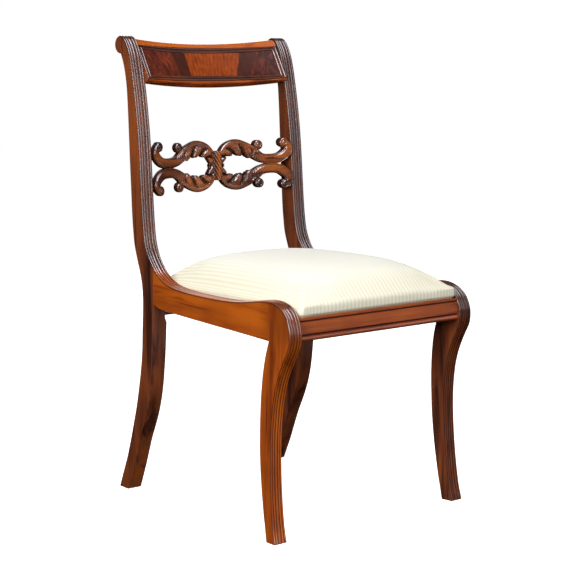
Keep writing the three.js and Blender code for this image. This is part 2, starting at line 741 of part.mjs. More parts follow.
const slipSeat = seatFrame();
for (const [word, member] of Object.entries(slipSeat)) {
  addPart(`seat_frame_${word}`, member, beechFrame);
}
for (const [index, word] of [[-1, "1"], [0, "2"], [1, "3"]]) {
  addPart(`seat_web_across_${word}`, webStrap(true, index), juteWebbing);
  addPart(`seat_web_along_${word}`, webStrap(false, index), juteWebbing);
}
addPart("seat_stuffing", seatStuffing(), cottonStuffing);
addPart("seat_cover", seatCover(), stripedFabric);
addPart("seat_dust_cloth", dustCloth(), blackCambric);

const extent = new THREE.Box3().setFromObject(chair);
chair.position.y = -(extent.min.y + extent.max.y) / 2;

export default chair;
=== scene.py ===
import math
from collections import namedtuple

import bmesh
import bpy
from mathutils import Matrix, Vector


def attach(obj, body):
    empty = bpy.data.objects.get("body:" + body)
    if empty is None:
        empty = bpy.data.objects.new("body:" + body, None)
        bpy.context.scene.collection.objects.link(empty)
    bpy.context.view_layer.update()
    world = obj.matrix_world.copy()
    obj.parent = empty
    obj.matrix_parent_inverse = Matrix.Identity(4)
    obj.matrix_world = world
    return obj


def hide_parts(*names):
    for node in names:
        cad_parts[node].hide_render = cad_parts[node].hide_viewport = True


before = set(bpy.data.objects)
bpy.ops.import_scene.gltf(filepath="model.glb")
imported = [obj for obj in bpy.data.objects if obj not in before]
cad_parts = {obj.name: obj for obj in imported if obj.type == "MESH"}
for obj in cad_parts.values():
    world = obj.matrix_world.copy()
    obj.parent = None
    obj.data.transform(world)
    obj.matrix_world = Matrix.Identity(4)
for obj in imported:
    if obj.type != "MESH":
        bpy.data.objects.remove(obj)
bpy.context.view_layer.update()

# Driving dimensions in millimetres. Depths are counted from the front edge of the front feet,
# and the chair's middle is at half_depth.
half_depth = 248.85
front_width = 479
rear_width = 411
stile_depth = 480
front_splay = 0.035
stock = 29
gap = 0.3
rail_top = 399.5
rail_bottom = 358.5
front_joint = 35
rear_joint = 390
leg_waist = 3
rear_swell = 5.5

SIDES = ((-1, "left"), (1, "right"))


def at(x, depth, height):
    """A place of the chair in millimetres as a place of the scene in metres."""
    return Vector((x, depth - half_depth, height)) / 1000


def blend(start, end, share):
    return start + (end - start) * share


def soft_step(value, low, high):
    share = min(max((value - low) / (high - low), 0), 1)
    return share * share * (3 - 2 * share)


def outer_x(depth, height):
    return blend(front_width / 2 - front_splay * height, rear_width / 2, depth / stile_depth)


def inner_x(depth, height):
    return outer_x(depth, height) - stock


# Camera at the photograph's angle: its place in metres, and how far it is turned and tilted

camera_place = (-2.04675, -2.35755, 0.82911)
camera_turn = math.radians(-41.019)
camera_tilt = math.radians(7.618)
camera_lens = 102.8
camera_sensor = 36


def set_up_camera():
    data = bpy.data.cameras.new("camera")
    data.lens = camera_lens
    data.sensor_width = camera_sensor
    camera = bpy.data.objects.new("camera", data)
    bpy.context.scene.collection.objects.link(camera)
    ahead = math.cos(camera_tilt)
    forward = Vector((
        -math.sin(camera_turn) * ahead, math.cos(camera_turn) * ahead, -math.sin(camera_tilt),
    ))
    camera.location = camera_place
    camera.rotation_euler = forward.to_track_quat("-Z", "Y").to_euler()
    bpy.context.scene.camera = camera


# Materials: a small set of tools

class Number:
    """A number that varies over a surface. Arithmetic on it adds Math nodes."""

    def __init__(self, finish, socket):
        self.finish = finish
        self.socket = socket

    def maths(self, operation, *values):
        node = self.finish.tree.nodes.new("ShaderNodeMath")
        node.operation = operation
        for socket, value in zip(node.inputs, values):
            self.finish.feed(socket, value)
        return Number(self.finish, node.outputs[0])

    def __add__(self, other):
        return self.maths("ADD", self, other)

    def __sub__(self, other):
        return self.maths("SUBTRACT", self, other)

    def __rsub__(self, other):
        return self.maths("SUBTRACT", other, self)

    def __mul__(self, other):
        return self.maths("MULTIPLY", self, other)

    def __truediv__(self, other):
        return self.maths("DIVIDE", self, other)

    def __pow__(self, other):
        return self.maths("POWER", self, other)

    __radd__ = __add__
    __rmul__ = __mul__

    def sine(self):
        return self.maths("SINE", self)

    def size(self):
        return self.maths("ABSOLUTE", self)

    def step(self, low, high):
        """0 below low, 1 above high and a soft step between them."""
        values = {"Value": self, "From Min": low, "From Max": high}
        return self.finish.node(
            "ShaderNodeMapRange", {"interpolation_type": "SMOOTHSTEP"}, values, "Result",
        )


class Finish:
    """One material. Its nodes are added here, and the shader's sockets are set with surface."""

    def __init__(self, name):
        self.material = bpy.data.materials.new(name)
        self.material.use_nodes = True
        self.tree = self.material.node_tree
        self.shader = self.tree.nodes["Principled BSDF"]

    def feed(self, socket, value):
        if isinstance(value, Number):
            self.tree.links.new(value.socket, socket)
        elif socket.type == "RGBA" and len(value) == 3:
            socket.default_value = (*value, 1)
        else:
            socket.default_value = value

    def find(self, sockets, name):
        return next(s for s in sockets if name in (s.identifier, s.name))

    def node(self, kind, settings, values, output):
        node = self.tree.nodes.new(kind)
        for key, value in settings.items():
            if key == "stops":
                self.set_stops(node.color_ramp, value)
            else:
                setattr(node, key, value)
        for key, value in values.items():
            self.feed(self.find(node.inputs, key), value)
        return Number(self, self.find(node.outputs, output))

    def set_stops(self, ramp, stops):
        while len(ramp.elements) < len(stops):
            ramp.elements.new(1)
        for element, (position, color) in zip(ramp.elements, stops):
            element.position = position
            element.color = (*color, 1)

    def place(self, scale=(1, 1, 1), turn=(0, 0, 0), move=(0, 0, 0)):
        spot = self.node("ShaderNodeTexCoord", {}, {}, "Object")
        values = {"Vector": spot, "Scale": scale, "Rotation": turn, "Location": move}
        return self.node("ShaderNodeMapping", {}, values, "Vector")

    def part(self, vector, axis):
        return self.node("ShaderNodeSeparateXYZ", {}, {"Vector": vector}, axis)

    def attribute(self, name):
        return self.node("ShaderNodeAttribute", {"attribute_name": name}, {}, "Fac")

    def noise(self, place, scale, detail=3, roughness=0.5, distortion=0):
        values = {
            "Vector": place, "Scale": scale, "Detail": detail, "Roughness": roughness,
            "Distortion": distortion,
        }
        return self.node("ShaderNodeTexNoise", {}, values, "Fac")

    def ramp(self, amount, *stops):
        return self.node("ShaderNodeValToRGB", {"stops": stops}, {"Fac": amount}, "Color")

    def mix(self, amount, first, second):
        values = {"Factor_Float": amount, "A_Color": first, "B_Color": second}
        return self.node("ShaderNodeMix", {"data_type": "RGBA"}, values, "Result_Color")

    def weave(self, place, pitch):
        """Threads that cross at right angles, so far apart."""
        over = (self.part(place, "X") * (2 * math.pi / pitch)).sine()
        return over * (self.part(place, "Y") * (2 * math.pi / pitch)).sine()

    def bump(self, height, depth, strength):
        values = {"Height": height, "Distance": depth, "Strength": strength}
        return self.node("ShaderNodeBump", {}, values, "Normal")

    def surface(self, **values):
        for key, value in values.items():
            self.feed(self.find(self.shader.inputs, key.replace("_", " ")), value)
        return self.material


# Materials of the chair

# Stops of the wood's colour from its dark streaks to its lightest figure
POLISHED = ((0.05, 0.009, 0.003), (0.16, 0.028, 0.004), (0.33, 0.062, 0.006), (0.52, 0.112, 0.008))
# The second set is the polished wood darkened as painted shade; the rear legs, the right front leg and
# the crest's beads use it.
POLISHED_IN_SHADE = ((0.02, 0.006, 0.004), (0.08, 0.021, 0.010), (0.18, 0.045, 0.015), (0.32, 0.076, 0.017))
CARVED = ((0.008, 0.003, 0.002), (0.06, 0.015, 0.006), (0.19, 0.050, 0.012), (0.36, 0.098, 0.018))

# How the wood's pattern is stretched along each grain direction
ALONG = {"x": (0.06, 1, 1), "y": (1, 0.06, 1), "z": (1, 1, 0.06)}


def mahogany(name, grain, tone, move=(0, 0, 0), shades=POLISHED, dull=0.3, haze=0.15):
    """French-polished mahogany. The grain runs along an axis, and a higher tone makes it lighter.

    Dull is how much less polish reached its hollows and other painted shade; haze is how soft its
    highlights are.
    """
    finish = Finish(name)
    stretched = finish.place(scale=ALONG[grain], move=move)
    figure = finish.noise(stretched, 26, detail=4, roughness=0.5, distortion=0.4)
    fine = finish.noise(stretched, 210, detail=4, roughness=0.6)
    broad = finish.noise(finish.place(move=move), 9, detail=2)
    streaks = finish.noise(stretched, 60, detail=3, distortion=0.8).step(0.5, 0.72)
    pores = finish.noise(stretched, 1100, detail=2).step(0.62, 0.74)
    painted_shade = finish.attribute("shade")
    shade = figure * 0.85 + fine * 0.18 + broad * 0.4 - streaks * 0.26 + (tone - 0.6)
    color = finish.ramp(shade, *zip((0.12, 0.33, 0.5, 0.72), shades))
    color = finish.mix(pores * 0.25, color, shades[0])
    # Painted shade: the shade attribute darkens grooves, gaps, reed backs, faces turned from the light
    # and the knee.
    color = finish.mix(painted_shade * 0.9, color, shades[0])
    return finish.surface(
        Base_Color=color,
        Roughness=0.42 + fine * 0.1,
        Normal=finish.bump(fine * 0.6 + (1 - pores) * 0.4, 0.0001, 0.08),
        Specular_IOR_Level=0.1,
        Coat_Weight=1.0 - painted_shade.step(0.45, 0.95) * dull,
        Coat_Roughness=haze,
        Coat_IOR=1.5,
    )


# The veneer, in metres: the line that its fan of grain opens round and how fast it opens, the fan's
# middle, how far from there its dark bands start and end, and where the flame of each end curls
fan_line = -0.053
fan_height = 0.84
fan_opening = 3.9
fan_middle = 0.065
band_start = (0.062, 0.068)
band_end = (0.092, 0.108)
flame_start = (0.085, 0.11)
curl_middle = 0.117
curl_height = 0.838


def figured_veneer():
    """The crest's panel: fanned straight grain in the middle, a dark band and a flame at each end."""
    finish = Finish("figured_veneer")
    place = finish.place()
    x = finish.part(place, "X")
    z = finish.part(place, "Z")
    wander = finish.noise(finish.place(scale=(1, 1, 0.5)), 30, detail=2) - 0.5
    fan = (x - fan_line) / ((z - fan_height) * fan_opening + 1)
    lines = (fan * 700 + wander * 14).sine() * 0.5 + 0.5
    straight = finish.noise(finish.place(scale=(1, 1, 0.05)), 120, detail=4, roughness=0.6)
    edge = (fan - fan_middle).size() + wander * 0.012
    band = edge.step(*band_start) * (1 - edge.step(*band_end))
    ends = edge.step(*flame_start)
    flame_place = finish.place(scale=(1, 1, 0.4), turn=(0, 0.35, 0))
    flame = finish.noise(flame_place, 70, detail=5, roughness=0.6, distortion=1.2)
    curl_across = (edge - curl_middle) * 55
    curl_up = (z - curl_height) * 34
    curl = (curl_across * curl_across + curl_up * curl_up) ** 0.5
    rings = (curl * 7 + flame * 12).sine() * 0.5 + 0.5
    curl_share = 1 - curl.step(0.6, 1.3)
    glow = flame * 0.85 + rings * curl_share * 0.13 - x.step(0, 0.1) * 0.13
    middle = finish.ramp(
        straight * 0.86 + lines * 0.14, (0.3, (0.14, 0.022, 0.003)), (0.7, (0.32, 0.055, 0.005)),
    )
    curls = finish.ramp(
        glow, (0.25, (0.025, 0.005, 0.004)), (0.47, (0.11, 0.019, 0.009)), (0.7, (0.25, 0.045, 0.013)),
    )
    dark = finish.ramp(straight, (0.2, (0.025, 0.006, 0.004)), (0.8, (0.06, 0.013, 0.008)))
    color = finish.mix(ends, middle, curls)
    color = finish.mix(band * 0.95, color, dark)
    return finish.surface(
        Base_Color=color,
        Roughness=0.35 + straight * 0.1,
        Normal=finish.bump(straight, 0.00008, 0.1),
        Specular_IOR_Level=0.1,
        Coat_Weight=0.6,
        Coat_Roughness=0.22,
    )


def frame_beech(name, grain):
    """Sawn, unpolished beech of the seat's frame and the corner blocks."""
    finish = Finish(name)
    stretched = finish.place(scale=ALONG[grain])
    figure = finish.noise(stretched, 60, detail=4)
    flecks = finish.noise(stretched, 420, detail=2).step(0.58, 0.7)
    color = finish.ramp(figure, (0.3, (0.40, 0.24, 0.12)), (0.7, (0.56, 0.38, 0.21)))
    color = finish.mix(flecks * 0.5, color, (0.27, 0.14, 0.06))
    return finish.surface(
        Base_Color=color,
        Roughness=0.55 + figure * 0.2,
        Normal=finish.bump(figure + flecks * 0.3, 0.0003, 0.5),
    )


# Pitches of the seat's stripes and threads in metres, and the heights between which painted light makes
# its crown paler
stripe_pitch = 0.009
thread_pitch = 0.0008
lit_crown_heights = (0.44, 0.478)


def striped_fabric():
    """Cream cloth with fine woven stripes that run from the front of the seat to its back."""
    finish = Finish("striped_fabric")
    across = finish.attribute("across")
    along = finish.attribute("along")
    wave = (across * (2 * math.pi / stripe_pitch)).sine()
    stripe = wave.step(-0.6, 0.5)
    satin = (across * (4 * math.pi / stripe_pitch) + 0.8).sine().step(0.2, 0.9)
    warp = (across * (2 * math.pi / thread_pitch)).sine()
    weft = (along * (2 * math.pi / thread_pitch)).sine()
    mottle = finish.noise(finish.place(), 45, detail=3)
    color = finish.mix(stripe, (0.70, 0.65, 0.48), (0.80, 0.76, 0.60))
    color = finish.mix(satin * 0.18, color, (0.74, 0.75, 0.68))
    color = finish.mix(mottle * 0.1, color, (0.66, 0.63, 0.5))
    # Painted light: the cloth is mixed towards a paler cream up the seat's crown, as if lit from above.
    crown = finish.part(finish.place(), "Z").step(*lit_crown_heights)
    color = finish.mix(crown * 0.55, color, (0.84, 0.84, 0.78))
    return finish.surface(
        Base_Color=color,
        Roughness=0.82 - stripe * 0.22,
        Normal=finish.bump(stripe * 0.8 + warp * weft * 0.1, 0.00025, 0.4),
        Sheen_Weight=0.15,
        Sheen_Roughness=0.5,
    )


def jute_webbing():
    """Coarse plain weave of jute, with a darker line near both edges of a strap."""
    finish = Finish("jute_webbing")
    place = finish.place()
    weave = finish.weave(place, 0.0021)
    fibre = finish.noise(place, 700, detail=3)
    line = finish.attribute("shade")
    color = finish.mix(fibre, (0.34, 0.22, 0.11), (0.56, 0.40, 0.22))
    color = finish.mix(line * 0.8, color, (0.10, 0.05, 0.03))
    return finish.surface(
        Base_Color=color,
        Roughness=0.85 + fibre * 0.1,
        Normal=finish.bump(weave * 0.5 + fibre * 0.4, 0.0005, 0.7),
    )


def black_cambric():
    """Thin black dust cloth: a fine open weave that lets a little dust settle on it."""
    finish = Finish("black_cambric")
    place = finish.place()
    weave = finish.weave(place, 0.0011)
    dust = finish.noise(place, 25, detail=4)
    color = finish.ramp(dust, (0.3, (0.012, 0.012, 0.013)), (0.75, (0.035, 0.033, 0.031)))
    return finish.surface(
        Base_Color=color,
        Roughness=0.82 + dust * 0.12,
        Normal=finish.bump(weave + dust * 0.3, 0.0002, 0.5),
    )


def screw_steel():
    finish = Finish("screw_steel")
    wear = finish.noise(finish.place(), 400, detail=4)
    color = finish.ramp(wear, (0.3, (0.30, 0.29, 0.27)), (0.7, (0.55, 0.54, 0.51)))
    return finish.surface(
        Base_Color=color,
        Metallic=1.0,
        Roughness=0.3 + wear * 0.25,
        Normal=finish.bump(wear, 0.0001, 0.4),
    )


# Runs: rows of places that a section is carried along

def smooth_run(points, steps):
    """A smooth run through the points, with so many steps between each two of them."""
    points = [Vector(p) for p in points]
    run = []
    for i in range(len(points) - 1):
        before = points[max(i - 1, 0)]
        start = points[i]
        end = points[i + 1]
        after = points[min(i + 2, len(points) - 1)]
        for k in range(steps):
            t = k / steps
            bend = 2 * before - 5 * start + 4 * end - after
            twist = 3 * start - before - 3 * end + after
            run.append(0.5 * (2 * start + (end - before) * t + bend * t ** 2 + twist * t ** 3))
    run.append(points[-1])
    return run


def spread(run, count):
    """So many equal steps along a run, from its start to its end."""
    reach = [0.0]
    for a, b in zip(run, run[1:]):
        reach.append(reach[-1] + (b - a).length)
    spots = []
    i = 0
    for k in range(count + 1):
        goal = reach[-1] * k / count
        while i < len(run) - 2 and reach[i + 1] < goal:
            i += 1
        span = reach[i + 1] - reach[i]
        spots.append(run[i].lerp(run[i + 1], min((goal - reach[i]) / span, 1) if span else 0))
    return spots


def split_at(run, depth):
    """Cuts a run of (depth, height) places in two where it first crosses a depth."""
    for i, (a, b) in enumerate(zip(run, run[1:])):
        if a.x != b.x and (a.x - depth) * (b.x - depth) <= 0:
            cut = a.lerp(b, (depth - a.x) / (b.x - a.x))
            return run[:i + 1] + [cut], [cut] + run[i + 1:]


def facing(run, i, turn):
    """The direction square to a run at one of its places: 1 for its left, -1 for its right."""
    way = (run[min(i + 1, len(run) - 1)] - run[max(i - 1, 0)]).normalized()
    return Vector((way.y, -way.x)) * turn


# Meshes

def rolled(rows, columns, place, shade=None):
    """A grid bent into shape: place(row, column) gives its corners, and shade how dark they are."""
    bm = bmesh.new()
    bmesh.ops.create_grid(bm, x_segments=columns, y_segments=rows, size=1)
    layer = bm.verts.layers.float.new("shade")
    for v in bm.verts:
        row = round((v.co.y + 1) / 2 * rows)
        column = round((v.co.x + 1) / 2 * columns)
        v.co = place(row, column)
        v[layer] = shade(row, column) if shade else 0
    return bm


def close_up(bm):
    """Merges what touches, fills the open ends and turns every face outwards."""
    bmesh.ops.remove_doubles(bm, verts=bm.verts, dist=0.00002)
    bmesh.ops.holes_fill(bm, edges=[e for e in bm.edges if e.is_boundary], sides=0)
    bmesh.ops.recalc_face_normals(bm, faces=bm.faces)


def closed(rows, columns, place, shade=None):
    """A grid bent into a closed solid."""
    bm = rolled(rows, columns, place, shade)
    close_up(bm)
    return bm


def even_shares(steps):
    """Equal steps from -1 to 1."""
    return [2 * i / steps - 1 for i in range(steps + 1)]


def swept(stops, section, corner, looped=False):
    """A closed section carried along stops: corner(stop, a, b) places each (a, b, shade) of it."""
    def place(row, column):
        a, b, _ = section[column % len(section)]
        return corner(stops[row % len(stops)], a, b)

    def shade(row, column):
        return section[column % len(section)][2]

    rows = len(stops) if looped else len(stops) - 1
    return closed(rows, len(section), place, shade)


def round_angle(column, columns):
    """The angle of a column round a tube, whose last column is its first one again."""
    return 2 * math.pi * (column % columns) / columns


def make_piece(name, bm, body, material, replaced, sharp=38):
    """Turns a bmesh into a finished piece. Edges sharper than so many degrees stay crisp."""
    limit = math.radians(sharp)
    for face in bm.faces:
        face.smooth = True
    for edge in bm.edges:
        edge.smooth = len(edge.link_faces) == 2 and edge.calc_face_angle(0) < limit
    mesh = bpy.data.meshes.new(name)
    bm.to_mesh(mesh)
    bm.free()
    piece = bpy.data.objects.new(name, mesh)
    bpy.context.scene.collection.objects.link(piece)
    mesh.materials.append(material)
    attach(piece, body)
    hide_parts(*replaced)
    return piece


# Side frames: a reeded ribbon runs over the scroll, down the stile, along the side rail, over the
# knee and down the front leg. Places are (depth, height).

def arc(centre, radius, start, end, steps):
    spots = []
    for i in range(steps + 1):
        angle = math.radians(blend(start, end, i / steps))
        spots.append((centre[0] + radius * math.cos(angle), centre[1] + radius * math.sin(angle)))
    return spots


scroll_centre = (496, 873)
scroll_radius = 17
scroll_parts = 8
knee_back = (33, 356.5)
neck_back = (494, 857)
rail_end = 382           # height of the side rail's underside where it meets the rear leg
outline_steps = 6        # places between two points of an outline

ribbon_points = arc(scroll_centre, scroll_radius, -100, 90, scroll_parts) + [
    (485, 886), (475.5, 875), (467, 859), (460.5, 840), (455.5, 819), (451, 796), (445.5, 765),
    (440.5, 731), (436, 693), (432.5, 652), (429.5, 610), (427, 572), (424, 538), (419.5, 505),
    (413, 484), (403, 465.5), (382, 443), (356, 427), (325, 419), (280, 415), (233, 413.6),
    (185, 413.2), (140, 414.5), (95, 419.5), (65, 424), (43, 426), (23, 424.5), (5, 419), (-8, 411),
    (-17, 401), (-23, 389), (-26.5, 375), (-26, 359), (-22, 345), (-11, 325), (-1, 304), (7, 283),
    (13, 258), (17, 228), (19, 195), (18.8, 163), (17.5, 130), (15, 95), (11, 57), (6.5, 27), (0, 0),
]
leg_back_points = [
    knee_back, (39, 338), (44.5, 316), (48.5, 290), (51.5, 257), (52.5, 220), (52, 180), (50, 146),
    (46.5, 113), (42, 82), (36.5, 50), (30.5, 22), (26, 0),
]
rail_under_points = [
    knee_back, (100, 360), (207, 365), (290, 369), (345, 372), (370, 374), (382, 377), (391, rail_end),
]
rear_leg_front_points = [
    (391, rail_end), (393, 358), (395, 330), (396.5, 295), (399.5, 259), (405, 215), (414, 177),
    (427, 143), (442, 111), (453, 83), (465, 51), (476, 25), (487, 0),
]
rear_back_points = [
    neck_back, (490.5, 850), (485.5, 838), (480, 819), (475.5, 794), (473, 765), (470, 710),
    (467.5, 653), (464.5, 600), (462, 552), (459, 520), (455.5, 494), (449, 472), (441, 450),
    (431.5, 422), (427.5, 390), (428, 360), (430, 325), (432, 284), (437, 248), (445, 208),
    (454.5, 170), (466, 133), (477, 100), (489, 67), (503.5, 35), (519.5, 0),
]

# The reeds: their shares of the width, their height, the places across each one, and how much of
# a half circle it takes. A plain edge is rounded by edge_round.
reed_shares = (0.85, 1, 1.3, 1, 0.85)
reed_height = 1.9
reed_steps = 10
reed_reach = 0.92
reed_round = 1 / (1 - math.sqrt(1 - reed_reach ** 2))
edge_round = 1.1

# Heights that a side frame's outline is divided at, and the ways its back faces where it fans out
shin_top = 362
neck_bottom = 842
stile_back_bottom = 432
joint_back_bottom = 376
knee_way = Vector((0.72, -0.69)).normalized()
neck_way = Vector((0.9, -0.43)).normalized()

# Heights and depths where the wood darkens round the knee, and heights of a stile's painted shadow
knee_heights = (320, 385)
knee_depths = (0, 75)
stile_shadow_heights = (440, 520)

# One stop of a side frame: its front edge and back edge, the ways they face, how deep its reeds
# are (0 to 1), and the planes that its front and its back end on, if any, as (axis, value).
Stop = namedtuple("Stop", "front out back back_out reeds joint back_joint", defaults=(None, None))


def edge_drop(place):
    """How much a plain face falls away near both edges of the stock."""
    near = min(place, stock - place)
    if near >= edge_round:
        return 0
    return edge_round - math.sqrt(edge_round ** 2 - (edge_round - near) ** 2)


def ribbon_section():
    """Places across the ribbon: (distance in from the outer face, reeded drop, plain drop)."""
    spots = []
    edge = 0.0
    for share in reed_shares:
        width = share / sum(reed_shares) * stock
        for k in range(reed_steps):
            part = (1 - math.cos(math.pi * k / reed_steps)) / 2
            crown = 1 - reed_round * (1 - math.sqrt(1 - (reed_reach * (2 * part - 1)) ** 2))
            place = edge + width * part
            spots.append((place, reed_height * (1 - crown), edge_drop(place)))
        edge += width
    spots.append((stock, reed_height, edge_drop(stock)))
    return spots


def back_section():
    """Places across the plain back, from the inner face to the outer one: (place, drop)."""
    near = (0, 0.3 * edge_round, edge_round)
    places = [stock - n for n in near] + [3 * stock / 4, stock / 2, stock / 4] + list(reversed(near))
    return [(place, edge_drop(place)) for place in places]


front_spots = ribbon_section()
back_spots = back_section()


def slide_to(joint, spot, out):
    """Moves a place along its run until it lies on a joint's plane."""
    axis, value = joint
    way = Vector((out.y, -out.x))
    return spot + way * ((value - spot[axis]) / way[axis])


# Heights below which a rear leg starts to be thicker and is at its full swell
swell_top = rail_bottom - 3
swell_full = rail_bottom - 14


def waist(depth, height):
    """How much thinner a front leg is half way up. A rear leg is thicker below the rear rail."""
    if height > swell_top:
        return 0
    if depth > rear_joint / 2:
        below = 1 - soft_step(height, swell_full, swell_top)
        return -rear_swell * below * blend(0.4, 1, height / rail_bottom)
    return leg_waist * math.sin(math.pi * height / rail_bottom)


# Shares of the way over a plain side face, where it gets its own rows of places
face_shares = (0.035, 0.5, 0.965)


def front_place(stop, column):
    across, reeded, plain = front_spots[column]
    spot = stop.front - stop.out * blend(plain, reeded, stop.reeds)
    return across, slide_to(stop.joint, spot, stop.out) if stop.joint else spot


def back_place(stop, column):
    across, drop = back_spots[column]
    spot = stop.back - stop.back_out * drop
    return across, slide_to(stop.back_joint, spot, stop.back_out) if stop.back_joint else spot


def ended(stop, axis, value):
    """The stop cut off flat on a plane, given as its axis and its place on it."""
    return stop._replace(joint=(axis, value), back_joint=(axis, value))


def stop_section(stop):
    """The places round a side frame at one stop: ribbon, inner face, back and outer face."""
    front = [front_place(stop, i) for i in range(len(front_spots))]
    back = [back_place(stop, i) for i in range(len(back_spots))]
    inner = [(stock, front[-1][1].lerp(back[0][1], share)) for share in face_shares]
    outer = [(0, back[-1][1].lerp(front[0][1], share)) for share in face_shares]
    return front + inner + back + outer


def knee_share(spot):
    """1 round the knee, where the wood is darkened, and 0 away from it."""
    return soft_step(spot.y, *knee_heights) * (1 - soft_step(spot.x, *knee_depths))


def side_frame_piece(name, side, stops, material, reed_shade):
    """One piece of a side frame. Its last argument is the painted shade on the backs of its reeds."""
    sections = [stop_section(stop) for stop in stops]
    count = len(sections[0])

    def place(row, column):
        across, (depth, height) = sections[row][column % count]
        x = outer_x(depth, height) - across * (1 - waist(depth, height) / stock)
        return at(side * x, depth, height)

    def shade(row, column):
        column %= count
        spot = sections[row][column][1]
        # The plain faces: a painted shadow darkens a stile's inner face above the seat, and the wood
        # darkens round the knee.
        if column >= len(front_spots):
            inner = column < len(front_spots) + len(face_shares)
            return max(0.6 * knee_share(spot), 0.5 * inner * soft_step(spot.y, *stile_shadow_heights))
        # Painted shade: the reeds darken into their grooves, and their backs by the last argument and
        # round the knee.
        groove = soft_step(front_spots[column][1] / reed_height, 0.12, 0.55)
        crown = max(reed_shade, 0.85 * knee_share(stops[row].front))
        return stops[row].reeds * blend(crown, 1, groove)

    bm = closed(len(stops) - 1, count, place, shade)
    make_piece(name + "_shown", bm, "chair", material, [name])


def stops_along(front_run, back_run, count, reeds=1, back_out=None):
    """Stops with equal steps along both edges. A back edge of one place makes a fan."""
    fronts = spread(front_run, count)
    backs = spread(back_run, count) if len(back_run) > 1 else back_run * (count + 1)
    stops = []
    for i in range(count + 1):
        back_way = back_out or facing(backs, i, -1)
        stops.append(Stop(fronts[i], facing(fronts, i, 1), backs[i], back_way, reeds))
    return stops


def cut_below(run, height):
    """Cuts a run in two at its first place that is lower than a height."""
    first = next(i for i, spot in enumerate(run) if spot.y < height)
    return run[:first + 1], run[first:]


def front_leg_stops(leg):
    """The front leg, from its joint with the side rail over the knee to the foot."""
    knee, shin = cut_below(leg, shin_top)
    knee_stops = stops_along(knee, [Vector(knee_back)], count=30, back_out=knee_way)
    under_joint = Vector((front_joint, knee_back[1] + 0.1))
    first = knee_stops[0]._replace(back=under_joint, back_out=Vector((0, -1)))
    shin_stops = stops_along(shin, smooth_run(leg_back_points, outline_steps), count=44)
    stops = [ended(first, 0, front_joint)] + knee_stops[1:] + shin_stops[1:]
    stops[-1] = ended(stops[-1], 1, 0)
    return stops


def side_rail_stops(rail):
    """The side rail, from the front leg to the rear leg."""
    under = smooth_run(rail_under_points, outline_steps)
    under = split_at(under, front_joint + gap)[1]
    under = split_at(under, rear_joint)[0]
    stops = stops_along(list(reversed(rail)), under, count=46)
    stops = [stop._replace(out=-stop.out, back_out=-stop.back_out) for stop in stops]
    stops[0] = ended(stops[0], 0, front_joint + gap)
    stops[-1] = ended(stops[-1], 0, rear_joint)
    return stops


def rear_leg_stops(stile):
    """The rear leg, from the scroll at its head down the stile and past the rail to the foot."""
    scroll_end = (scroll_parts + 2) * outline_steps
    head, front = cut_below(stile[scroll_end:], neck_bottom)
    back, below = cut_below(smooth_run(rear_back_points, outline_steps), stile_back_bottom)
    joint_back, leg_back = cut_below(below, joint_back_bottom)
    neck = [Vector(neck_back)]

    scroll_stops = stops_along(stile[:scroll_end + 1], neck, count=34, back_out=neck_way)
    scroll_stops[0] = scroll_stops[0]._replace(reeds=0)
    scroll_stops[1] = scroll_stops[1]._replace(reeds=0.6)
    head_stops = stops_along(head, neck, count=12, back_out=neck_way)
    stile_stops = stops_along(front, back, count=56)
    stile_stops[-1] = stile_stops[-1]._replace(joint=(0, rear_joint + gap))

    joint_face = [Vector((rear_joint + gap, front[-1].y - 1)), Vector((rear_joint + gap, rail_end))]
    joint_stops = stops_along(joint_face, joint_back, count=4, reeds=0)
    leg_front = smooth_run(rear_leg_front_points, outline_steps)
    leg_stops = stops_along(leg_front, leg_back, count=40, reeds=0)
    leg_stops[-1] = ended(leg_stops[-1], 1, 0)
    return scroll_stops + head_stops[1:] + stile_stops[1:] + joint_stops + leg_stops[1:]


def make_side_frames():
    stile, rest = split_at(smooth_run(ribbon_points, outline_steps), rear_joint)
    rail, leg = split_at(rest, front_joint)
    front_leg = front_leg_stops(leg)
    side_rail = side_rail_stops(rail)
    rear_leg = rear_leg_stops(stile)

    for side, word in SIDES:
        # Painted shadow: the right front leg gets a lower tone and the shaded stops, for the left
        # frame's shadow on it.
        leg_wood = mahogany(
            f"front_leg_wood_{word}", "z", 0.44 - 0.03 * side, (0.3 * side, 0.1, 0),
            POLISHED if side < 0 else POLISHED_IN_SHADE,
        )
        rail_wood = mahogany(f"side_rail_wood_{word}", "y", 0.55, (0.1, 0.4 * side, 0.2))
        # Painted shade: the rear legs take the shaded stops, and the right one a lower tone for painted
        # shadow.
        rear_wood = mahogany(
            f"rear_leg_wood_{word}", "z", 0.42 - 0.05 * side, (0.55 * side, 0.1, 0.37), POLISHED_IN_SHADE, haze=0.24,
        )
        # The last number is the painted shade on the backs of each piece's reeds.
        side_frame_piece(f"front_leg_{word}", side, front_leg, leg_wood, 0.1)
        side_frame_piece(f"side_rail_{word}", side, side_rail, rail_wood, 0.3)
        side_frame_piece(f"rear_leg_{word}", side, rear_leg, rear_wood, 0.7)


# Front rail: a thin top strip, a groove, a flat field, a groove and a bottom bead

rail_face = -19
rail_back = 6
rail_grooves = ((4, 7.5), (28.5, 32.5))        # each one's top and bottom, down from the rail's top
groove_depth = 2.1
bead_half = 4.2          # half of the bottom bead's height
bead_round = 2.6
bead_sink = 1.8          # how far its middle lies behind the rail's face


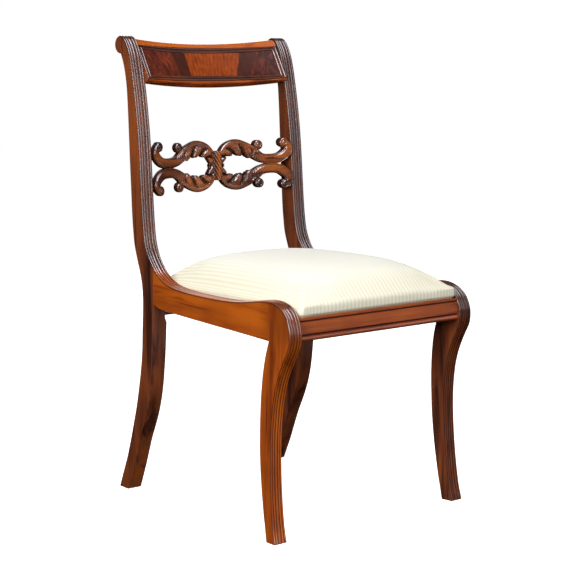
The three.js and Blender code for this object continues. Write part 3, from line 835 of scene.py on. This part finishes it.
def front_rail_section():
    """The rail's outline as (depth, height, shade), from the top of its face round to its back."""
    spots = [(rail_back, rail_top, 0), (rail_face + 0.8, rail_top, 0), (rail_face, rail_top - 0.8, 0)]
    for down, down_to in rail_grooves:
        top = rail_top - down
        bottom = rail_top - down_to
        # Painted shade: each groove is darkened, fully inside and by 0.4 at its edges.
        spots += [
            (rail_face, top + 0.5, 0),
            (rail_face + 0.4, top, 0.4),
            (rail_face + 1.5, top - 0.7, 1),
            (rail_face + groove_depth, (top + bottom) / 2, 1),
            (rail_face + 1.5, bottom + 0.7, 1),
            (rail_face + 0.4, bottom, 0.4),
            (rail_face, bottom - 0.5, 0),
        ]
    bead = (bottom + rail_bottom) / 2
    for angle in (60, 30, 0, -30, -60, -85):
        turn = math.radians(angle)
        out = bead_round * math.cos(turn) - bead_sink
        spots.append((rail_face - out, bead + bead_half * math.sin(turn), 0))
    spots += [(rail_face + 3, rail_bottom, 0), (rail_back - 1, rail_bottom, 0)]
    spots.append((rail_back, rail_bottom + 1, 0))
    return spots


def make_front_rail():
    def corner(share, depth, height):
        return at(share * (inner_x(depth, height) - gap), depth, height)

    bm = swept(even_shares(12), front_rail_section(), corner)
    wood = mahogany("front_rail_wood", "x", 0.35, (0.4, 0.3, 0.2), dull=0.8)
    make_piece("front_rail_shown", bm, "chair", wood, ["front_rail"])


# Crest: a rail bowed backwards along its own leaning face. Its places are x, v (up the face) and
# w (out of the face, to the front).

crest_lean = math.radians(29)
crest_depth = 464
crest_height = 841.5
crest_sag = 20
crest_span = rear_width / 2 - stock - gap
end_bead = 13

# Lines on the crest's face, as the height v in the middle and at the ends
top_bead_edge = (41.5, 36.2)
panel_top = (28.6, 26.7)
panel_bottom = (-22.5, -31)
bottom_bead_edge = (-33.5, -38.5)

# The rounded lower and upper edges of the crest's section, as (v, w)
crest_lower = (
    (-38.8, 0), (-40.2, -2.5), (-40.6, -6), (-40.6, -11), (-39.5, -16), (-37, -20), (-33, -22),
)
crest_upper = ((47, -22), (52, -20), (55, -15.5), (55.4, -10), (53, -5), (49, -1.4), (44, 0))

# Each bead's start and width as shares of the frame's width, and its height
crest_beads = ((0.03, 0.4, 2.6), (0.60, 0.37, 2.4))


def line_at(line, x):
    """The height of a line on the crest's face, which is given for its middle and its ends."""
    return blend(line[0], line[1], (x / crest_span) ** 2)


def on_crest(x, v, w):
    out = w - crest_sag * (1 - (x / crest_span) ** 2)
    depth = crest_depth + v * math.sin(crest_lean) - out * math.cos(crest_lean)
    return at(x, depth, crest_height + v * math.cos(crest_lean) + out * math.sin(crest_lean))


def make_crest_rail():
    section = [(v, w, 0) for v, w in smooth_run(crest_lower, 3) + smooth_run(crest_upper, 4)]

    def corner(share, v, w):
        return on_crest(crest_span * share, v, w)

    bm = swept(even_shares(40), section, corner)
    wood = mahogany("crest_wood", "x", 0.52, (0.15, 0.6, 0.1))
    make_piece("crest_rail_shown", bm, "chair", wood, ["crest_rail"])


def bead_section():
    """Two round beads with a groove between them: (share of the width from the panel out, w, shade)."""
    spots = [(0, gap, 1)]
    steps = 8
    for start, width, height in crest_beads:
        for k in range(steps + 1):
            angle = math.pi * k / steps
            share = start + width * (1 - math.cos(angle)) / 2
            rise = height * (0.28 + 0.72 * math.sin(angle))
            # Painted shade: full at each bead's foot and at the section's ends, and 0.55 over the beads.
            spots.append((share, rise, 1 if k in (0, steps) else 0.55))
    spots.append((1, gap, 1))
    return spots


def make_crest_beads():
    long_steps = 28
    short_steps = 6
    stops = [("top", 2 * i / long_steps - 1) for i in range(long_steps)]
    stops += [("right", i / short_steps) for i in range(short_steps)]
    stops += [("bottom", 1 - 2 * i / long_steps) for i in range(long_steps)]
    stops += [("left", 1 - i / short_steps) for i in range(short_steps)]

    def corner(stop, share, w):
        edge, part = stop
        reach = crest_span - end_bead * (1 - share)
        x = {"top": part, "bottom": part, "right": 1, "left": -1}[edge] * reach
        high = blend(line_at(panel_top, x), line_at(top_bead_edge, x), share)
        low = blend(line_at(panel_bottom, x), line_at(bottom_bead_edge, x), share)
        v = {"top": high, "bottom": low}.get(edge, blend(high, low, part))
        return on_crest(x, v, w)

    bm = swept(stops, bead_section(), corner, looped=True)
    names = ["crest_bead_top", "crest_bead_bottom", "crest_bead_left", "crest_bead_right"]
    wood = mahogany("crest_bead_wood", "x", 0.36, (0.5, 0.2, 0.9), POLISHED_IN_SHADE, haze=0.2)
    make_piece("crest_bead_frame", bm, "chair", wood, names)


def make_crest_panel():
    reach = crest_span - end_bead - 2 * gap
    shares = (0.003, 0.003, 0.02, 0.98, 0.997, 0.997)
    section = [(share, w, 0) for share, w in zip(shares, (gap, 1.0, 1.25, 1.25, 1.0, gap))]

    def corner(part, share, w):
        x = reach * part
        return on_crest(x, blend(line_at(panel_bottom, x), line_at(panel_top, x), share), w)

    bm = swept(even_shares(48), section, corner)
    make_piece("crest_panel_shown", bm, "chair", figured_veneer(), ["crest_panel"])


# Splat: two carved horseshoe scrolls with S-shaped arms and a rope-twist binding. Its places are
# x, d (depth from its middle surface) and h (height from its centre line).

splat_height = 635
splat_middle = 461
splat_bow = 560
splat_lean = 0.05
arm_depth = 8.5
rope_core = 8
rope_half = 29
rope_forward = 3
rope_strands = 9
rope_pitch = 96
strand_height = 3

# Volutes of an upper right arm: x, h, radius, half of their depth, and how much painted shade darkens
# them
volutes = ((101.5, 38.5, 10, 8.4, 0.5), (158.5, 42.3, 10, 9.4, 0.1))

# The middle line of an upper right arm from the rope to its outer volute: (x, h, half height)
arm_points = [
    (10, -3, 8), (11, 10, 8), (16.5, 23.5, 10.5), (30, 33, 13), (50, 36.5, 14.5), (70, 32, 13.5),
    (88, 24.5, 12), (108, 12.5, 9.8), (130, 9.2, 10.2), (150, 12, 10), (164, 22, 9.5), (168, 33, 8.5),
    (163.5, 41.5, 7.5), (158, 43, 6.5),
]


def on_splat(x, d, h):
    return at(x, splat_middle - x * x / (2 * splat_bow) + splat_lean * h + d, splat_height + h)


def make_rope():
    columns = rope_strands * 8
    rows = 60

    def spot(row, column):
        """Its height, its angle, and 1 on the back of a strand or 0 in the groove between two."""
        height = rope_half * (2 * row / rows - 1)
        angle = round_angle(column, columns)
        twist = angle + 2 * math.pi * height / rope_pitch
        return height, angle, abs(math.cos(rope_strands / 2 * twist)) ** 0.6

    def place(row, column):
        height, angle, lobe = spot(row, column)
        r = (rope_core + strand_height * lobe) * (1.04 - 0.2 * (height / rope_half) ** 4)
        return on_splat(r * math.cos(angle), r * math.sin(angle) - rope_forward, height)

    # Painted shade in the grooves between the strands, and a painted shadow down the rope's left side.
    def shade(row, column):
        _, angle, lobe = spot(row, column)
        return min(1.3 * (1 - lobe) + 0.8 * soft_step(-math.cos(angle), 0.2, 0.8), 1)

    bm = closed(rows, columns, place, shade)
    wood = mahogany("rope_wood", "z", 0.52, (0.2, 0.2, 0.7), CARVED, 0.95)
    make_piece("splat_rope_shown", bm, "chair", wood, ["splat_rope"], sharp=70)


leaf_end = 6.2        # the leaf covers the arm's run up to this place, counted in arm_points
run_steps = 18
lobe_pitch = 1.5
lobe_slant = 0.6


def arm_spot(run, place, across, d):
    """A place on an arm: how far along its run, across as a share of its half height, and depth."""
    i = min(max(place * run_steps, 0), len(run) - 1.001)
    low = int(i)
    x, h, half = run[low].lerp(run[low + 1], i - low)
    before = run[max(low - 1, 0)]
    after = run[min(low + 2, len(run) - 1)]
    way = Vector((after.x - before.x, after.y - before.y)).normalized()
    return Vector((x - way.y * half * across, d, h + way.x * half * across))


def ridge_at(value, middle, width):
    """A smooth ridge: 1 at its middle and near 0 beyond its width."""
    return math.exp(-((value - middle) / width) ** 2)


def leaf_share(place):
    """1 where the leaf covers the arm and 0 on the plain bar."""
    return 1 - soft_step(place, leaf_end - 0.4, leaf_end)


def lobe_part(place, across):
    """Where a place lies on its lobe of the leaf, from 0 at one gap to 1 at the next."""
    return ((place + lobe_slant * across) / lobe_pitch) % 1


def lobe_rise(place, across):
    """0 in the gaps between the lobes and 1 on their backs. Each lobe ends in a steep edge."""
    part = lobe_part(place, across)
    return soft_step(part, -0.08, 0.4) * (1 - soft_step(part, 0.76, 0.9))


def arm_relief(place, across):
    """How far the arm's front is cut back: a line near the bars' edges, the leaf's gaps and veins."""
    part = lobe_part(place, across)
    line = 1.4 * ridge_at(abs(across), 0.72, 0.09)
    inner = 1 - soft_step(across, 0.05, 0.35)
    veins = 0.6 * math.cos(5 * math.pi * part) ** 2
    leaf = inner * (4.4 * (1 - lobe_rise(place, across)) + veins - 1)
    pit = 4 * ridge_at(across, 0.18, 0.12) * ridge_at(part, 0.93, 0.08)
    seam = 1.1 * ridge_at(across, 0.36, 0.08)
    folds = ridge_at(place, leaf_end + 0.1, 0.35) * math.sin(24 * (place + 0.35 * across))
    return blend(line, leaf + pit + seam, leaf_share(place)) + folds


def arm_edge(place, across):
    """How far the leaf's scalloped inner edge stands out, as a factor on the arm's half height."""
    part = lobe_part(place, -1)
    reach = 0.32 * lobe_rise(place, -1) + 0.1 * abs(math.sin(3 * math.pi * part)) - 0.12
    return 1 + reach * leaf_share(place) * soft_step(-across, 0.2, 0.9)


def rounded(value, power):
    return math.copysign(abs(value) ** power, value)


def splat_arm(side, upward):
    run = smooth_run(arm_points, run_steps)
    columns = 60

    def spot(row, column):
        part = row / run_steps
        angle = round_angle(column, columns)
        boxy = 0.46 + 0.12 * leaf_share(part)
        half = arm_depth * blend(0.6, 1, soft_step(part, 0.2, 2))
        across = rounded(math.cos(angle), boxy)
        depth = rounded(math.sin(angle), boxy) * half
        relief = arm_relief(part, across) if depth < -0.5 * half else 0
        return part, across, depth, relief, half

    def place(row, column):
        part, across, depth, relief, _ = spot(row, column)
        reach = across * arm_edge(part, across)
        x, d, h = arm_spot(run, part, reach, min(depth + relief, 0) if relief else depth)
        return on_splat(side * x, d, upward * h)

    # Painted shade: the leaf's gaps and cut lines, the arm's side faces and the arm near the rope, where
    # the rope shades it.
    def shade(row, column):
        part, _, depth, relief, half = spot(row, column)
        side_face_shade = 0.95 * (1 - soft_step(abs(depth) / half, 0.55, 0.85))
        rope_shadow = 0.7 * (1 - soft_step(part, 0.3, 1.2))
        return min(max(relief / 2, side_face_shade, rope_shadow), 1)

    return closed(len(run) - 1, columns, place, shade)


spiral_turns = 1.6
spiral_depth = 1.5


def roundel(side, upward, x, h, radius, depth, dark):
    """A volute's eye: a thick disc with rounded edges and a spiral line cut into its front."""
    rows = 40
    columns = 44
    outline = []
    for i in range(201):
        angle = math.pi * i / 200
        outline.append(Vector((
            radius * max(math.sin(angle), 0) ** 0.5, -depth * rounded(math.cos(angle), 0.5),
        )))
    rings = spread(outline, rows)

    def groove(row, column):
        reach, d = rings[row]
        share = reach / radius
        if d > -0.6 * depth:
            return 0
        turn = (share * spiral_turns - round_angle(column, columns) / (2 * math.pi)) % 1
        inside = soft_step(share, 0.1, 0.25) * (1 - soft_step(share, 0.8, 0.95))
        return ridge_at(turn, 0.5, 0.16) * inside

    def place(row, column):
        reach, d = rings[row]
        angle = round_angle(column, columns)
        cut = spiral_depth * groove(row, column)
        out = x + reach * math.cos(angle)
        up = h + reach * math.sin(angle)
        return on_splat(side * out, d + cut, upward * up)

    # Painted shade: the spiral groove and the disc's sides are darkened, and the whole eye by its last
    # argument.
    def shade(row, column):
        side_face_shade = 1 - soft_step(abs(rings[row].y) / depth, 0.6, 0.85)
        return min(max(dark, groove(row, column), 0.95 * side_face_shade), 1)

    return closed(rows, columns, place, shade)


def make_splat_scroll(side, word):
    whole = bmesh.new()
    for upward in (1, -1):
        join(whole, splat_arm(side, upward))
        for volute in volutes:
            join(whole, roundel(side, upward, *volute))
    wood = mahogany(f"scroll_wood_{word}", "x", 0.39, (0.3, 0.1 * side, 0.6), CARVED, 0.95)
    name = f"splat_scroll_{word}"
    make_piece(name + "_shown", whole, "chair", wood, [name], sharp=50)


def join(whole, part):
    """Adds one bmesh to another."""
    mesh = bpy.data.meshes.new("part")
    part.to_mesh(mesh)
    part.free()
    whole.from_mesh(mesh)
    bpy.data.meshes.remove(mesh)


# Drop-in seat

cushion_front = -18.5
cushion_rear = 422
cushion_clear = 1.6
cushion_bottom = 400.4
cushion_crown = 81
cushion_side = 24
pad_inset = 0.8          # how much narrower the cushion is before it is stuffed
most_swell = 4.5
front_swell = 0.8
cloth_frames = 20
corner_reach = 11        # how far from an upright edge the cushion is rounded
frame_inset = 3.5        # how far the seat's wooden frame lies inside the cushion
frame_cover = 3.2        # the least that the cover keeps clear of it
seat_bottom = 399.9
seat_top = seat_bottom + 19
seat_middle = (cushion_front + cushion_rear) / 2
seat_half = (cushion_rear - cushion_front) / 2


def cushion_height(a, b, drop=0):
    across = max(1 - abs(a) ** 3, 0)
    along = max(1 - abs(b) ** 3, 0)
    return max((cushion_crown - drop) * (across * along) ** 0.34, cushion_side)


def on_seat(a, b, inset, height):
    """A place on the seat, given as shares of its half width and half depth."""
    depth = seat_middle + b * (seat_half - inset)
    return at(a * (inner_x(depth, height) - cushion_clear - inset), depth, height)


def edge_share(part):
    """Steps from -1 to 1 that lie closer together near both ends."""
    return math.sin(math.pi / 2 * (2 * part - 1)) * 0.6 + (2 * part - 1) * 0.4


def pad_body(inset, drop):
    """The cushion before it is stuffed: upright sides, a domed top and a flat underside."""
    steps = 40

    def place(row, column):
        a = edge_share(column / steps)
        b = edge_share(row / steps)
        return on_seat(a, b, inset, cushion_bottom + cushion_height(a, b, drop))

    bm = rolled(steps, steps, place)
    border = [e for e in bm.edges if e.is_boundary]
    middle = at(0, seat_middle, 0)
    foot = cushion_bottom / 1000
    levels = ((1, 0.009), (1, 0.002), (1, 0), (0.98, 0), (0.8, 0), (0.4, 0))
    for share, rise in levels:
        made = bmesh.ops.extrude_edge_only(bm, edges=border)["geom"]
        border = [e for e in made if isinstance(e, bmesh.types.BMEdge) and e.is_boundary]
        for v in made:
            if isinstance(v, bmesh.types.BMVert):
                v.co = middle.lerp(v.co, share)
                v.co.z = foot + rise
    close_up(bm)
    return bm


def applied(piece):
    """The piece's mesh with its modifiers applied."""
    piece_now = piece.evaluated_get(bpy.context.evaluated_depsgraph_get())
    return bpy.data.meshes.new_from_object(piece_now)


def swell(piece):
    """Stuffs the cushion: it is remeshed, blown up as cloth and kept from swelling too far."""
    most = most_swell / 1000
    remesh = piece.modifiers.new("remesh", "REMESH")
    remesh.mode = "VOXEL"
    remesh.voxel_size = 0.005
    even = applied(piece)
    piece.modifiers.clear()
    piece.data = even
    rest = [v.co.copy() for v in even.vertices]
    held = piece.vertex_groups.new(name="held")
    held.add([v.index for v in even.vertices if v.co.z < (cushion_bottom + 4) / 1000], 1, "ADD")
    cloth = piece.modifiers.new("cloth", "CLOTH")
    cloth.settings.quality = 5
    cloth.settings.use_pressure = True
    cloth.settings.uniform_pressure_force = 4
    cloth.settings.vertex_group_mass = "held"
    cloth.settings.effector_weights.gravity = 0
    scene = bpy.context.scene
    for moment in range(1, cloth_frames + 1):
        scene.frame_set(moment)
    blown = applied(piece)
    scene.frame_set(1)
    piece.modifiers.clear()
    piece.vertex_groups.clear()
    for v, start in zip(blown.vertices, rest):
        move = v.co - start
        if move.length > most:
            v.co = start + move.normalized() * most
        v.co = kept_in(v.co, start)
    piece.data = blown


def kept_in(place, start):
    """Keeps the cushion clear of the side frames and over its frame, with a slight swell in front."""
    wall = 2        # places that start this near to an upright side belong to it
    depth = max(place.y * 1000 + half_depth, cushion_front - 1)
    if start.y * 1000 + half_depth < cushion_front + wall:
        depth = min(depth, cushion_front + front_swell)
    height = place.z * 1000
    limit = inner_x(depth, height) - cushion_clear
    x = max(min(place.x * 1000, limit), -limit)
    if abs(start.x) * 1000 > limit - wall and start.z * 1000 < cushion_bottom + cushion_side:
        x = math.copysign(max(abs(x), limit - pad_inset), start.x)
    return at(x, min(depth, cushion_rear), max(height, cushion_bottom))


def at_corner(place):
    """Whether a place is at one of the cushion's four upright edges, above the seat's frame."""
    depth = place.y * 1000 + half_depth
    height = place.z * 1000
    to_side = inner_x(depth, height) - cushion_clear - abs(place.x) * 1000
    to_end = min(depth - cushion_front, cushion_rear - depth)
    return height > cushion_bottom + 6 and max(to_side, to_end) < corner_reach


def clear_of_frame(place):
    """Moves a place of the cover off the wooden frame inside it, by the shortest way."""
    depth = place.y * 1000 + half_depth
    height = place.z * 1000
    clear = frame_inset - frame_cover
    side = inner_x(depth, height) - cushion_clear - clear
    front = cushion_front + clear
    rear = cushion_rear - clear
    top = seat_top + frame_cover
    inside = (side - abs(place.x) * 1000, depth - front, rear - depth, top - height)
    least = inside.index(min(inside))
    if height < cushion_bottom + 1.5 or inside[least] <= 0:
        return place
    if least == 0:
        return at(math.copysign(side, place.x), depth, height)
    if least == 3:
        return at(place.x * 1000, depth, top)
    return at(place.x * 1000, front if least == 1 else rear, height)


def soften_edges(mesh, passes):
    """Rounds the cushion's upper edges and its corners, and leaves its underside alone."""
    bm = bmesh.new()
    bm.from_mesh(mesh)
    upper = [v for v in bm.verts if v.co.z > (cushion_bottom + 20) / 1000]
    corners = [v for v in bm.verts if at_corner(v.co)]
    for verts in [upper] * passes + [corners] * (passes // 2):
        bmesh.ops.smooth_vert(
            bm, verts=verts, factor=0.5, use_axis_x=True, use_axis_y=True, use_axis_z=True,
        )
        for v in bm.verts:
            v.co = clear_of_frame(v.co)
    bm.to_mesh(mesh)
    bm.free()


def cloth_reach(share, half):
    """How much cloth lies between the middle of the seat and a place on its dome, in millimetres."""
    reach = 0.0
    steps = 60
    last = cushion_crown
    for i in range(1, steps + 1):
        height = cushion_height(share * i / steps, 0)
        reach += math.hypot(half * share / steps, height - last)
        last = height
    return reach


cloth_steps = 40
cloth_half_width = 190


def cloth_table(half):
    """The reach of the cloth at equal steps from the middle of the seat to its edge."""
    return [cloth_reach(i / cloth_steps, half) for i in range(cloth_steps + 1)]


def measure_cloth(mesh):
    """Writes how far each point lies across and along the cloth, which the stripes follow."""
    widths = cloth_table(cloth_half_width)
    lengths = cloth_table(seat_half)
    across = mesh.attributes.new("across", "FLOAT", "POINT")
    along = mesh.attributes.new("along", "FLOAT", "POINT")

    def reach(table, share, height):
        part = min(abs(share), 1) * cloth_steps
        low = min(int(part), cloth_steps - 1)
        cloth = blend(table[low], table[low + 1], part - low)
        wall = soft_step(abs(share), 0.965, 0.99)
        cloth += wall * max(cushion_bottom + cushion_side - height, 0)
        return math.copysign(cloth, share) / 1000

    for i, v in enumerate(mesh.vertices):
        depth = v.co.y * 1000 + half_depth
        height = v.co.z * 1000
        half = inner_x(depth, height) - cushion_clear
        across.data[i].value = reach(widths, v.co.x * 1000 / half, height)
        along.data[i].value = reach(lengths, (depth - seat_middle) / seat_half, height)


def make_cushion():
    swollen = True
    crown_drop, passes = (5, 8) if swollen else (2, 2)
    body = pad_body(pad_inset, crown_drop)
    replaced = ["seat_cover", "seat_stuffing"]
    cushion = make_piece("cushion", body, "seat", striped_fabric(), replaced, sharp=80)
    if swollen:
        swell(cushion)
    soften_edges(cushion.data, passes)
    measure_cloth(cushion.data)
    for face in cushion.data.polygons:
        face.use_smooth = True
    soften = cushion.modifiers.new("soften", "SUBSURF")
    soften.levels = 1
    soften.render_levels = 1


# Seat webbing and dust cloth. A strap goes over and under the straps that cross it.

strap_width = 54
strap_thickness = 1.4
strap_step = {"across": 88, "along": 96}
strap_reach = {"across": 160, "along": 190}
strap_middle = 1.9       # how far the middle of the weave lies above the seat's frame
strap_wave = 0.95        # how far a strap rises and dips from there
strap_steepness = 1.9    # above 1, the tops of its waves are flat


def strap_level(along, step, phase):
    if abs(along) > 1.5 * step:
        return seat_top + gap + strap_thickness / 2
    wave = strap_steepness * math.cos(math.pi * along / step)
    return seat_top + strap_middle + phase * strap_wave * max(min(wave, 1), -1)


def make_strap(way, number, material):
    rows, columns = 90, 10
    index = number - 2
    phase = (1 if index == 0 else -1) * (1 if way == "across" else -1)

    def place(row, column):
        along = strap_reach[way] * (2 * row / rows - 1)
        edge = strap_width * (column / columns - 0.5)
        level = strap_level(along, strap_step[way], phase)
        if way == "across":
            return at(along, seat_middle + index * strap_step["along"] + edge, level)
        return at(index * strap_step["across"] + edge, seat_middle + along, level)

    def shade(row, column):
        return 1 if column in (1, columns - 1) else 0

    bm = rolled(rows, columns, place, shade)
    name = f"web_{way}_{number}"
    strap = make_piece(name, bm, "seat", material, ["seat_" + name])
    thicken(strap, strap_thickness)


def thicken(piece, thickness):
    wall = piece.modifiers.new("wall", "SOLIDIFY")
    wall.thickness = thickness / 1000
    wall.offset = 0


def make_webbing():
    webbing = jute_webbing()
    for way in strap_step:
        for number in (1, 2, 3):
            make_strap(way, number, webbing)


# The dust cloth: its edges as shares of the seat, its sag and its thickness
cloth_side = 0.95
cloth_front = -0.94
cloth_rear = 0.86
cloth_sag = 2.2
cloth_thickness = 0.22
cloth_below = 0.17       # how far the middle of its thickness lies under the seat's frame
cloth_open = (0.7, 0.74)        # shares of the seat within which it hangs free


def make_dust_cloth():
    """The cloth is stretched over the underside of the seat's frame and sags a little between."""
    steps = 40

    def place(row, column):
        a = cloth_side * (2 * column / steps - 1)
        b = blend(cloth_front, cloth_rear, row / steps)
        sag = cloth_sag
        for share, free in zip((a, b), cloth_open):
            sag *= max(1 - (share / free) ** 2, 0)
        return on_seat(a, b, frame_inset, seat_bottom - cloth_below - sag)

    bm = rolled(steps, steps, place)
    area = sum(face.calc_area() for face in bm.faces)
    front = 2 * on_seat(cloth_side, cloth_front, frame_inset, seat_bottom).x
    cloth = make_piece("dust_cloth", bm, "seat", black_cambric(), ["seat_dust_cloth"])
    thicken(cloth, cloth_thickness)


def dress_nodes():
    """Gives the CAD nodes that stay their materials, and the rail and the seat's frame softer edges."""
    beech_x = frame_beech("frame_beech_x", "x")
    beech_y = frame_beech("frame_beech_y", "y")
    steel = screw_steel()
    rear = mahogany("rear_rail_wood", "x", 0.45)
    for name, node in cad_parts.items():
        if name.startswith("corner_screw"):
            material = steel
        elif name in ("seat_frame_left", "seat_frame_right"):
            material = beech_y
        elif name == "rear_rail":
            material = rear
        else:
            material = beech_x
        node.data.materials.clear()
        node.data.materials.append(material)
        if name.startswith(("seat_frame", "rear_rail")):
            merge = node.modifiers.new("merge", "WELD")
            merge.merge_threshold = 0.00001
            worn = node.modifiers.new("worn_edges", "BEVEL")
            worn.width = 0.0008
            worn.segments = 2
            worn.limit_method = "ANGLE"
            worn.angle_limit = math.radians(35)


# Stage and light

def make_floor():
    """A plain white floor. It lights nothing and isn't mirrored in the polish."""
    bm = bmesh.new()
    bmesh.ops.create_grid(bm, x_segments=2, y_segments=2, size=12)
    mesh = bpy.data.meshes.new("floor")
    bm.to_mesh(mesh)
    bm.free()
    floor = bpy.data.objects.new("floor", mesh)
    bpy.context.scene.collection.objects.link(floor)
    floor.visible_glossy = False
    floor.visible_diffuse = False
    finish = Finish("pale_floor")
    mesh.materials.append(finish.surface(
        Base_Color=(0.9, 0.9, 0.9), Roughness=0.9, Specular_IOR_Level=0.0,
        Emission_Color=(1, 1, 1), Emission_Strength=1.0,
    ))


def add_light(name, place, aim, size, power, color=(1, 1, 1), gloss_only=False):
    data = bpy.data.lights.new(name, "AREA")
    data.shape = "RECTANGLE"
    data.size = size[0]
    data.size_y = size[1]
    data.energy = power
    data.color = color
    light = bpy.data.objects.new(name, data)
    light.location = place
    light.rotation_euler = (Vector(aim) - Vector(place)).to_track_quat("-Z", "Y").to_euler()
    light.visible_diffuse = not gloss_only
    bpy.context.scene.collection.objects.link(light)


def light_the_studio():
    scene = bpy.context.scene
    world = bpy.data.worlds.new("studio")
    world.use_nodes = True
    backdrop = world.node_tree.nodes["Background"].inputs
    backdrop["Color"].default_value = (1, 1, 1, 1)
    backdrop["Strength"].default_value = 1.0
    world.cycles_visibility.diffuse = False
    world.cycles_visibility.glossy = False
    scene.world = world
    middle = (0, 0, 0.5)
    seat = (-0.05, -0.1, 0.5)
    add_light("left_softbox", (-2.3, -0.8, 1.15), middle, (0.5, 1.1), 47)
    add_light("left_strip", (-2.2, -1.2, 1.0), middle, (0.6, 1.6), 44, (0.8, 0.88, 1), True)
    add_light("overhead_softbox", (-0.35, -0.9, 2.6), seat, (0.7, 1.8), 40)
    add_light("overhead_strip", (-0.3, -0.85, 2.5), seat, (1.5, 1.9), 120, (0.8, 0.88, 1), True)
    add_light("right_window", (2.1, -2.1, 1.15), (0, 0.1, 0.7), (1.2, 1.0), 9, (0.7, 0.8, 1))
    add_light("right_glow", (2.0, -2.0, 0.0), (0, 0.1, 0.5), (1.6, 1.3), 2.2, (0.85, 0.9, 1))
    add_light("white_backdrop", (2.6, 2.3, 1.0), middle, (3.6, 2.6), 12, (0.93, 0.94, 1))
    add_light("front_fill", (-1.6, -3.6, 1.6), middle, (2.6, 2.0), 72)
    add_light("back_fill", (1.2, 3.4, 1.8), middle, (2.6, 2.0), 30)
    scene.view_settings.view_transform = "Standard"


set_up_camera()
make_side_frames()
make_front_rail()
make_crest_rail()
make_crest_beads()
make_crest_panel()
make_rope()
for side, word in SIDES:
    make_splat_scroll(side, word)
make_cushion()
make_webbing()
make_dust_cloth()
dress_nodes()
make_floor()
light_the_studio()
